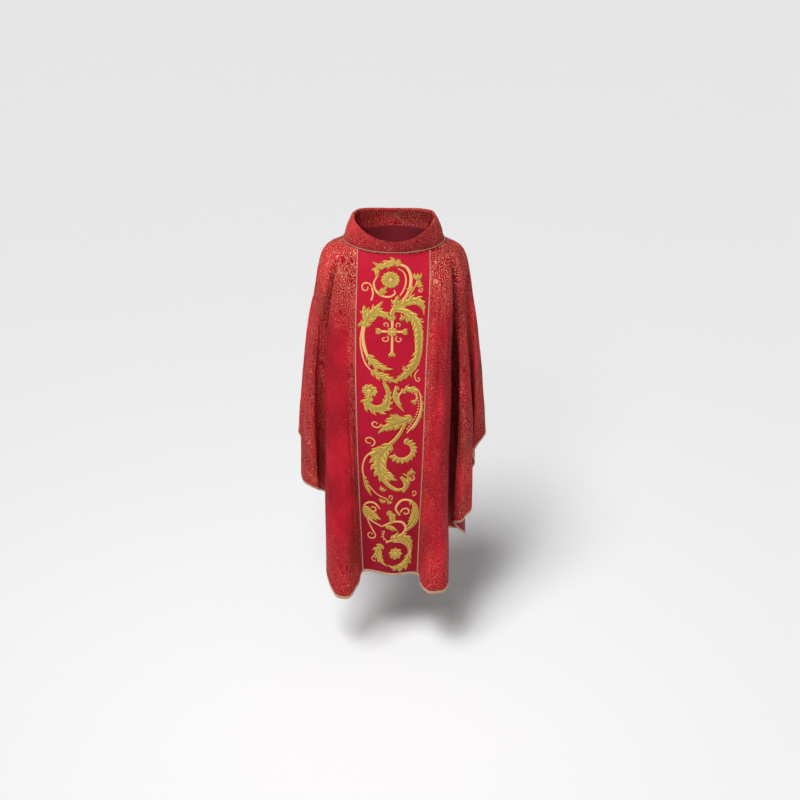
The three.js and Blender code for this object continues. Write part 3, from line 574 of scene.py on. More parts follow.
def addPiece(name, node, points, faces, uv, slot, extra=None):
    mesh = bpy.data.meshes.new(name)
    mesh.from_pydata(points.tolist(), [], faces.tolist() if hasattr(faces, "tolist") else faces)
    layer = mesh.uv_layers.new(name="cloth")
    corners = np.empty(len(mesh.loops), dtype=np.int32)
    mesh.loops.foreach_get("vertex_index", corners)
    layer.data.foreach_set("uv", np.asarray(uv, float)[corners].ravel())
    for key, values in (extra or {}).items():
        mesh.attributes.new(key, "FLOAT", "POINT").data.foreach_set("value", np.asarray(values, float))
    mesh.shade_smooth()
    mesh.materials.append(materials[slot])
    mesh.validate()
    piece = bpy.data.objects.new(name, mesh)
    bpy.context.collection.objects.link(piece)
    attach(piece, "root")
    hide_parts(node)
    return piece


# The faces of a closed shell between an outer and an inner grid of the same shape.
def shellFaces(height, width):
    index = np.arange(2 * height * width).reshape(2, height, width)
    outer, inner = index
    a, b, c, d = outer[:-1, :-1], outer[1:, :-1], outer[1:, 1:], outer[:-1, 1:]
    skin = np.stack([a, b, c, d], -1).reshape(-1, 4)
    a, b, c, d = inner[:-1, :-1], inner[:-1, 1:], inner[1:, 1:], inner[1:, :-1]
    back = np.stack([a, b, c, d], -1).reshape(-1, 4)
    walls = []
    for o, i in ((outer[0, ::-1], inner[0, ::-1]), (outer[-1], inner[-1]),
                 (outer[:, 0], inner[:, 0]), (outer[::-1, -1], inner[::-1, -1])):
        walls.append(np.stack([o[:-1], i[:-1], i[1:], o[1:]], -1))
    return np.concatenate([skin, back, *walls])


# The lengths run along a grid of points, from its first row or column.
def lengths(grid, axis):
    steps = np.linalg.norm(np.diff(grid, axis=axis), axis=-1)
    first = np.zeros_like(np.take(steps, [0], axis=axis))
    return np.concatenate([first, np.cumsum(steps, axis=axis)], axis=axis)


# Width, length and area of a hung grid when it is laid flat.
def flatSize(grid):
    width = lengths(grid, 1)[:, -1].max()
    length = lengths(grid, 0)[-1].max()
    a, b = grid[1:, :-1] - grid[:-1, 1:], grid[1:, 1:] - grid[:-1, :-1]
    area = np.linalg.norm(np.cross(a, b), axis=-1).sum() / 2
    return float(width), float(length), float(area)


flatSizes = {}
leastFlat = 0.0101    # a flat width or length under a centimetre is raised to this


def declare(piece, grid, restsOn):
    width, length, area = flatSize(grid)
    width, length = max(width, leastFlat), max(length, leastFlat)
    flatSizes[piece.name] = (round(width, 3), round(length, 3), round(area, 4))


# Even steps from first to last, so many to a fold line or a row.
def spread(first, last, perUnit):
    return np.linspace(first, last, max(2, int(round((last - first) * perUnit)) + 1))


# Where the gold figure is thick: on the shoulders, beside the seams, on the outer folds and near the hem.
def richness(u, v):
    place = np.mod(u, lineCount)
    front = np.minimum(place, lineCount - place)
    back = np.abs(place - backCentre)
    fromSeam = np.minimum(front, back) - 1
    shoulders = 1 - rise(v, 1.15, 1.95)
    band = (1 - rise(fromSeam, 0.9, 1.5)) * 0.62
    outer = rise(fromSeam, 4.2, 5.2) * 0.60
    right = (place < rightShoulder) * 0.25
    hem = rise(v, 3.3, 3.9) * 0.45
    most = np.maximum.reduce([shoulders, band, outer, right, hem, np.full(place.shape, 0.06)])
    return np.clip(most * (0.85 + 0.25 * waves(u, v, 51, lineCount * 2, 30)), 0, 1)


# How deep a place lies in one of the valleys between the rolls, from 0 to 1: painted shade there darkens the
# red and thins the gold.
def paintedValleyShade(u, v):
    deepest = max(deep for deep, _reach in valleys.values())
    parts = [deep / deepest * inValley(u, v, line) for line, (deep, _reach) in valleys.items()]
    return np.clip(sum(parts), 0, 1)


# One layer of cloth between two offsets; across0 is the column where its coordinates across are 0.
def clothPiece(name, node, us, vs, inner, outer, slot, across0=None):
    u, v = np.meshgrid(us, vs)
    skin = clothAt(u, v, outer)
    back = clothAt(u, v, inner)
    acrossLength = lengths(skin, 1)
    if across0 is not None:
        acrossLength = acrossLength - acrossLength[:, [across0]]
    uv = np.stack([acrossLength, lengths(skin, 0)], -1).reshape(-1, 2)
    points = np.concatenate([skin.reshape(-1, 3), back.reshape(-1, 3)])
    extra = None
    if slot == "damask":
        paintedShade = paintedValleyShade(u, v)
        # Painted shade: the gold figure thins in the valleys.
        gold = richness(u, v) * (1 - 0.6 * paintedShade)
        extra = {"richness": np.tile(gold.ravel(), 2), "paintedShade": np.tile(paintedShade.ravel(), 2)}
    piece = addPiece(name, node, points, shellFaces(*u.shape), np.tile(uv, (2, 1)), slot, extra)
    return piece, (skin + back) / 2


# Panels: the model's node, the fold lines they lie between, their cloth and the column of their inner seam.
seamGap = 0.012
panelPlan = {
    "frontLeft": ("front_left_panel", leftShoulder - lineCount, -frontSeam, "damask", -1),
    "frontOrphrey": ("front_orphrey_panel", -frontSeam, frontSeam, "satin", None),
    "frontRight": ("front_right_panel", frontSeam, rightShoulder, "damask", 0),
    "backRight": ("back_right_panel", rightShoulder, backSeam, "damask", -1),
    "backOrphrey": ("back_orphrey_panel", backSeam, backSeam + 2, "satin", None),
    "backLeft": ("back_left_panel", backSeam + 2, leftShoulder, "damask", 0),
}
panelVs = spread(neckEdge, hemEdge, 64)
panelGrids = {}
panelPieces = {}
for name, (node, first, last, slot, start) in panelPlan.items():
    perLine = 40 if slot == "satin" else 10
    us = spread(first + seamGap, last - seamGap, perLine)
    piece, grid = clothPiece(name + "Panel", node, us, panelVs, clothInner, 0, slot, start)
    panelPieces[name] = piece
    panelGrids[name] = grid
print("panels hung")

liningVs = spread(0, hemEdge, 32)
for name, first, last in (("front", leftShoulder - lineCount, rightShoulder),
                          ("back", rightShoulder, leftShoulder)):
    us = spread(first + seamGap, last - seamGap, 7)
    piece, grid = clothPiece(name + "Lining", name + "_lining", us, liningVs, liningInner, liningOuter,
                             "lining")
    declare(piece, grid, ["neck_seam_tape", "shoulder_rest"])

for name, first in (("front", -frontSeam), ("back", backSeam)):
    us = spread(first + seamGap, first + 2 - seamGap, 16)
    vs = spread(0.5, hemEdge, 24)
    node = name + "_orphrey_interfacing"
    piece, grid = clothPiece(name + "Interfacing", node, us, vs, interfacingInner, interfacingOuter,
                             "canvas")
    declare(piece, grid, [name + "_orphrey_panel"])

tapeEase = 0.00025
for name, seam in (("right", rightShoulder), ("left", leftShoulder)):
    us = spread(seam - 0.15, seam + 0.15, 40)
    node = name + "_shoulder_tape"
    vs = spread(0.54, hemEdge, 40)
    piece, grid = clothPiece(name + "ShoulderTape", node, us, vs, interfacingInner + tapeEase,
                             interfacingOuter, "canvas")
    declare(piece, grid, ["shoulder_rest"])

us = spread(backCentre - lineCount + seamGap, backCentre - seamGap, 9)
piece, grid = clothPiece("neckSeamTape", "neck_seam_tape", us, spread(0.07, 0.49, 30), interfacingInner,
                         interfacingOuter, "canvas")
declare(piece, grid, ["shoulder_rest"])
print("linings and tapes in place")


collarLook = {
    "rimWidth": 0.82, "rimFront": 1.0, "rimBack": 0.95, "swell": 0.005, "baseHalf": 0.0015, "rimHalf": 0.005,
    "drop": 0.0011, "rimMiddle": 0.34, "frontDip": 0.78, "sideRise": 0.62, "lift": 0.004, "wrinkle": 0.0014,
    "band": 0.0012, "waddingGap": 0.0007, "waddingFoot": 1 / 3, "facingDrop": 0.10,
    # Gold of the collar's figure; gold taken away by painted shade on the front; gold added as a painted
    # highlight along the rim; how soft that rim is; how dark the painted shade on the front is.
    "gold": 0.55, "goldLostToPaintedFrontShade": 0.30, "goldForPaintedRimHighlight": 0.45, "rimSoftness": 0.09, "frontShade": 0.55,
}


# A point of the collar's middle surface: share 0 at the neck seam, 1 at the rim.
def collarPoint(angle, share):
    look = collarLook
    cosine, sine = np.cos(angle), np.sin(angle)
    front = cosine > 0
    base = np.stack([size["neckHalfWidth"] * sine,
                     -np.where(front, size["neckFront"], size["neckBack"]) * cosine,
                     -hang["seamDrop"] - hang["seamTilt"] * cosine - look["drop"]], -1)
    reach = np.where(front, size["neckFront"] * look["rimFront"], size["neckBack"] * look["rimBack"])
    wave = 1 - look["frontDip"] * cosine - look["sideRise"] * np.cos(2 * angle)
    height = look["rimMiddle"] * size["collarHeight"] * wave + look["lift"]
    rim = np.stack([size["neckHalfWidth"] * look["rimWidth"] * sine, -reach * cosine, height], -1)
    turn = angle / (2 * math.pi) * lineCount
    bow = np.sin(np.clip(share, 0, 1) * math.pi) * look["swell"]
    bow = bow + look["wrinkle"] * waves(turn, share * 3, 61, 40, 4) * rise(share, 0.1, 0.6)
    out = np.stack([sine, -cosine, np.zeros_like(sine)], -1)
    return base + (rim - base) * share[..., None] + out * bow[..., None]


def unit(vectors):
    return vectors / np.linalg.norm(vectors, axis=-1, keepdims=True)


# The outline of the folded band: up the outside, over the rim and down the inside.
def collarFold(angles, inset, firstShare, wallSteps=22, rimSteps=14):
    look = collarLook
    shares = np.linspace(firstShare, 1, wallSteps)
    turns = np.linspace(0, math.pi, rimSteps + 2)[1:-1]
    facing = np.linspace(1, firstShare - look["facingDrop"], wallSteps)
    share = np.concatenate([shares, np.ones(rimSteps), facing])
    outPart = np.concatenate([np.ones(wallSteps), np.cos(turns), -np.ones(wallSteps)])
    risePart = np.concatenate([np.zeros(wallSteps), np.sin(turns), np.zeros(wallSteps)])
    angle, share = np.meshgrid(angles, share, indexing="ij")
    step = 0.02
    along = unit(collarPoint(angle + step, share) - collarPoint(angle - step, share))
    up = unit(collarPoint(angle, np.minimum(share + step, 1)) - collarPoint(angle, share - step))
    out = unit(np.cross(along, up))
    half = look["baseHalf"] + (look["rimHalf"] - look["baseHalf"]) * share - inset
    return (collarPoint(angle, share) + out * (half * outPart)[..., None]
            + up * (half * risePart)[..., None])


# Joins rings of points into a closed band that runs all the way round.
def ringFaces(count, width):
    index = np.arange(count * width).reshape(count, width)
    a, b = index, np.roll(index, -1, axis=1)
    c, d = np.roll(b, -1, axis=0), np.roll(index, -1, axis=0)
    return np.stack([a, d, c, b], -1).reshape(-1, 4)


# The last ring of faces meets the first one, so its far corners go on counting instead of starting again.
def wrapAround(piece, width, girth):
    layer = piece.data.uv_layers["cloth"].data
    for face in list(piece.data.polygons)[-width:]:
        for corner in face.loop_indices:
            if piece.data.loops[corner].vertex_index < width:
                layer[corner].uv.x += girth


collarSteps = 420
collarAngles = np.arange(collarSteps) * 2 * math.pi / collarSteps - math.pi
outerWall = collarFold(collarAngles, 0, 0)
innerWall = collarFold(collarAngles, collarLook["band"], 0)
rings = np.concatenate([outerWall, innerWall[:, ::-1]], axis=1)
meanRadius = (size["neckHalfWidth"] + size["neckFront"]) / 2
foldLengths = lengths(outerWall, 1)
downs = np.concatenate([foldLengths, foldLengths[:, ::-1]], axis=1)
rounds = np.repeat((collarAngles * meanRadius)[:, None], rings.shape[1], axis=1)
uv = np.stack([rounds, downs], -1).reshape(-1, 2)
faces = ringFaces(*rings.shape[:2])
depths = downs / foldLengths.max() - 0.5    # about 0 on the rim, negative on the outside
# Painted light on the collar: a painted highlight along the rim adds gold there; painted shade on the front
# below the rim takes gold away and darkens the red.
rimHighlightMask = np.exp(-(depths / collarLook["rimSoftness"]) ** 2)
frontShadeMask = rise(np.cos(collarAngles)[:, None], 0.2, 0.9) * (depths < 0)
shine = collarLook["gold"] - collarLook["goldLostToPaintedFrontShade"] * frontShadeMask + collarLook["goldForPaintedRimHighlight"] * rimHighlightMask
shade = collarLook["frontShade"] * frontShadeMask * (1 - rimHighlightMask)
collar = addPiece("collarBand", "collar_band", rings.reshape(-1, 3), faces, uv, "damask",
                  {"richness": shine.ravel(), "paintedShade": shade.ravel()})
wrapAround(collar, rings.shape[1], 2 * math.pi * meanRadius)
middleWall = (outerWall + innerWall) / 2
declare(collar, np.concatenate([middleWall, middleWall[:1]]),
        ["shoulder_rest", "collar_interlining"])

wadding = collarFold(collarAngles, collarLook["band"] + collarLook["waddingGap"], collarLook["waddingFoot"])
uv = np.stack([np.repeat(collarAngles * meanRadius, wadding.shape[1]),
               np.tile(np.linspace(0, 0.1, wadding.shape[1]), collarSteps)], -1)
interlining = addPiece("collarInterlining", "collar_interlining", wadding.reshape(-1, 3),
                       ringFaces(*wadding.shape[:2]), uv, "canvas")


# The piping: a covered cord, twisted, along the lower edge of the collar.
def addPiping():
    steps, sides = 520, 14
    look = pipingLook
    angle = np.arange(steps) * 2 * math.pi / steps
    out = np.stack([np.sin(angle), -np.cos(angle), np.zeros(steps)], -1)
    ring = np.array([neckSeam(a) for a in angle])
    centre = ring + out * (look["standOff"] - look["radius"])
    centre[:, 2] += look["radius"] + look["lift"]
    turn = np.arange(sides) * 2 * math.pi / sides
    strands = np.sin(angle[:, None] * look["twist"] + turn[None] * look["strands"])
    radius = look["radius"] * look["slimness"] * (1 + look["strandDepth"] * strands)
    side = out[:, None] * (radius * np.cos(turn))[..., None]
    points = centre[:, None] + side
    points[..., 2] += radius * np.sin(turn)
    uv = np.stack([np.repeat(angle * meanRadius, sides), np.tile(turn * look["radius"], steps)], -1)
    addPiece("collarPiping", "collar_piping", points.reshape(-1, 3), ringFaces(steps, sides)[:, ::-1],
             uv, "braid")


addPiping()
print("collar made")


galloonLook = {"orphreySide": 0.020, "panelSide": 0.07, "thickness": 0.0009, "rib": 0.0002, "columns": 9}


# A woven strip over an orphrey seam, thicker along its two edges.
def addGalloon(name, node, seam, orphreySide):
    wide, narrow = galloonLook["panelSide"], galloonLook["orphreySide"]
    first, last = (seam - wide, seam + narrow) if orphreySide > 0 else (seam - narrow, seam + wide)
    us = np.linspace(first, last, galloonLook["columns"])
    vs = spread(0.035, hemEdge, 90)
    u, v = np.meshgrid(us, vs)
    rib = np.cos(np.linspace(-math.pi, math.pi, galloonLook["columns"])) * -galloonLook["rib"]
    top = clothAt(u, v, size["gap"] + galloonLook["thickness"] + rib[None])
    low = clothAt(u, v, size["gap"] * 0.5)
    uv = np.stack([lengths(top, 1), lengths(top, 0)], -1).reshape(-1, 2)
    points = np.concatenate([top.reshape(-1, 3), low.reshape(-1, 3)])
    return addPiece(name, node, points, shellFaces(*u.shape), np.tile(uv, (2, 1)), "braid")


galloons = {
    "front": [addGalloon("frontLeftGalloon", "front_left_galloon", -frontSeam, 1),
              addGalloon("frontRightGalloon", "front_right_galloon", frontSeam, -1)],
    "back": [addGalloon("backRightGalloon", "back_right_galloon", backSeam, 1),
             addGalloon("backLeftGalloon", "back_left_galloon", backSeam + 2, -1)],
}


bindingLook = {
    "edge": 0.002, "ease": 0.0003, "columns": 20, "squareness": 0.45, "ripple": 0.00025, "ripples": 9,
    "roundness": 0.004,
}


# A folded strip around the hem edges of the cloth and the lining.
def addBinding(name, node, first, last, perLine):
    look = bindingLook
    us = spread(first + seamGap, last - seamGap, perLine)
    topV = hemEdge + look["edge"]
    half = (size["gap"] - liningInner + look["ease"]) / 2
    middle = size["gap"] - half
    turns = np.linspace(0, 2 * math.pi, look["columns"], endpoint=False)
    wide = np.sign(np.cos(turns)) * np.abs(np.cos(turns)) ** look["squareness"]
    tall = np.sign(np.sin(turns)) * np.abs(np.sin(turns)) ** look["squareness"]
    u = np.repeat(us[:, None], len(turns), 1)
    v = np.broadcast_to((topV + 4) / 2 - (4 - topV) / 2 * tall, u.shape)
    ripple = look["ripple"] * np.sin(us * look["ripples"])[:, None]
    points = clothAt(u, v, middle + half * wide + ripple)
    index = np.arange(points.shape[0] * points.shape[1]).reshape(points.shape[:2])
    ends = [index[0].tolist(), index[-1, ::-1].tolist()]
    a, b = index[:-1], np.roll(index, -1, axis=1)[:-1]
    c, d = np.roll(index, -1, axis=1)[1:], index[1:]
    faces = np.stack([a, d, c, b], -1).reshape(-1, 4).tolist() + ends
    along = lengths(points, 0)
    around = np.repeat((turns * look["roundness"])[None], len(us), 0)
    uv = np.stack([around, along], -1).reshape(-1, 2)
    return addPiece(name, node, points.reshape(-1, 3), faces, uv, "braid")


for name, (node, first, last, slot, _seam) in panelPlan.items():
    bindingNode = node.replace("_panel", "_hem_binding")
    perLine = 60 if slot == "satin" else 16
    addBinding(name + "HemBinding", bindingNode, first, last, perLine)
print("braids sewn")


centreVs = np.linspace(0, 4, 1200)
centreLengths = {}
for side, centre in (("front", 0), ("back", backCentre)):
    column = drapeBase(np.full(centreVs.shape, float(centre)), centreVs)
    centreLengths[side] = lengths(column[:, None], 0)[:, 0]
padding = {"backing": 0.0005, "stem": 0.0017, "leaf": 0.0026, "heart": 0.0034}
fullness = {"stem": 1.0, "leaf": 1.25}
leafTone = 0.5    # a tone above this is leaf


# A flat place in millimetres, right of the middle and down from the neck seam, lifted off the cloth.
def onOrphrey(flat, lift, side):
    centre = 0 if side == "front" else backCentre
    v = np.interp(flat[..., 1] / 1000, centreLengths[side], centreVs)
    u = centre + flat[..., 0] / 1000 / size["orphreyHalfWidth"]
    return clothAt(u, v, lift)


# Even points along a smooth curve through the given ones, and how far along it each of them is.
def curveThrough(points, count):
    points = np.array(points, float)
    ends = [2 * points[0] - points[1], *points, 2 * points[-1] - points[-2]]
    parts = np.linspace(0, 1, 24, endpoint=False)[:, None]
    fine = [smoothStep(*(ends[i + k] for k in range(4)), parts) for i in range(len(points) - 1)]
    fine = np.concatenate([*fine, points[-1:]])
    run = np.concatenate([[0], np.cumsum(np.linalg.norm(np.diff(fine, axis=0), axis=1))])
    even = np.linspace(0, run[-1], count)
    return np.stack([np.interp(even, run, fine[:, k]) for k in range(2)], -1), even


# A raised stroke of satin stitch: its points and its widths at the start, the middle and the end.
def stroke(points, widths, tone=1.0, height=None):
    return {"points": points, "widths": widths, "tone": tone,
            "height": height or (padding["leaf"] if tone > leafTone else padding["stem"])}


def plainStroke(points, widths):
    return [stroke(points, widths)]


def stem(points, widths):
    return [stroke(points, widths, tone=0.0)]


# Points on an arc or, with an end radius, on a spiral; degrees turn from right to down.
def arc(x, y, radius, start, end, endRadius=None):
    count = max(4, int(abs(end - start) / 30))
    shares = np.linspace(0, 1, count + 1)
    reach = radius + ((radius if endRadius is None else endRadius) - radius) * shares
    turns = np.radians(start + (end - start) * shares)
    return [(x + r * math.cos(t), y + r * math.sin(t)) for r, t in zip(reach, turns)]


# A tendril that curls in to a knob.
def spiral(x, y, radius, start, end, endRadius, width):
    tendril = arc(x, y, radius, start, end, endRadius)
    endX, endY = tendril[-1]
    return [*stem(tendril, (width * 0.8, width, width * 0.7)),
            *stem([(endX, endY), (endX + 1.5, endY + 1)], (width, width * 1.4, width))]


# An acanthus leaf: a rib with pointed lobes that spring from both of its sides.
def acanthus(points, width, lobes, sides=(1, -1)):
    path, _run = curveThrough(points, lobes * 8 + 1)
    tangents = np.gradient(path, axis=0)
    tangents /= np.linalg.norm(tangents, axis=1, keepdims=True)
    pieces = plainStroke(points, (width * 0.34, width * 0.55, 2.5))
    for side in sides:
        for k in range(lobes):
            share = (k + 0.35) / lobes
            i = int(share * (len(path) - 1))
            swell = math.sin(math.pi * min(1, 0.18 + share * 0.95)) ** 0.7
            reach = width * 0.62 * swell + 2
            ahead, out = tangents[i], np.array([-tangents[i][1], tangents[i][0]]) * side
            root = path[i] - ahead * reach * 0.25
            knee = path[i] + out * reach * 0.55 + ahead * reach * 0.15
            tip = path[i] + out * reach + ahead * reach * 0.85
            pieces.append(stroke([root, knee, tip], (reach * 0.42, reach * 0.50, 0.8)))
    return pieces


# A petal from an inner to an outer radius; the bends are the turns of its foot, middle and tip.
def petal(x, y, inner, outer, turn, widths, bends):
    radii = (inner, (inner + outer) / 2, outer)
    spots = [(x + r * math.cos(turn + bend), y + r * math.sin(turn + bend)) for r, bend in zip(radii, bends)]
    return stroke(spots, widths)


def flower(x, y, radius, petals):
    widths = (radius * 0.26, radius * 0.46, radius * 0.20)
    pieces = [petal(x, y, radius * 0.30, radius, 2 * math.pi * k / petals, widths, (-0.10, 0.04, 0.16))
              for k in range(petals)]
    half = radius * 0.26
    pieces.append(stroke([(x - half, y), (x, y + 0.5), (x + half, y)],
                         (radius * 0.30, radius * 0.60, radius * 0.30), 0.35, padding["heart"]))
    return pieces


# Petals side by side on a stretch of a ring, one every 20 degrees.
def petalRow(x, y, inner, outer, first, petals, width):
    return [petal(x, y, inner, outer, math.radians(first + k * 20), (width * 0.6, width, width * 0.3),
                  (0, 0.05, 0.12)) for k in range(petals)]


def beads(points, count, width):
    path, _run = curveThrough(points, count)
    return [stroke([p - (width / 2, 0), p, p + (width / 2, 0)], (width * 0.5, width, width * 0.5), 0.2)
            for p in path]


# Three pointed leaves that spring from one foot.
def bud(x, y, degrees, length, width):
    turn = math.radians(degrees)
    ahead = np.array([math.cos(turn), math.sin(turn)])
    out = np.array([-ahead[1], ahead[0]])
    foot = np.array([x, y], float)
    pieces = []
    for lean in (-0.5, 0, 0.5):
        tip = foot + (ahead + out * lean) * length
        knee = foot + (ahead + out * lean * 1.5) * length * 0.55
        pieces.append(stroke([foot, knee, tip], (width * 0.35, width * 0.6, 1.0)))
    return pieces


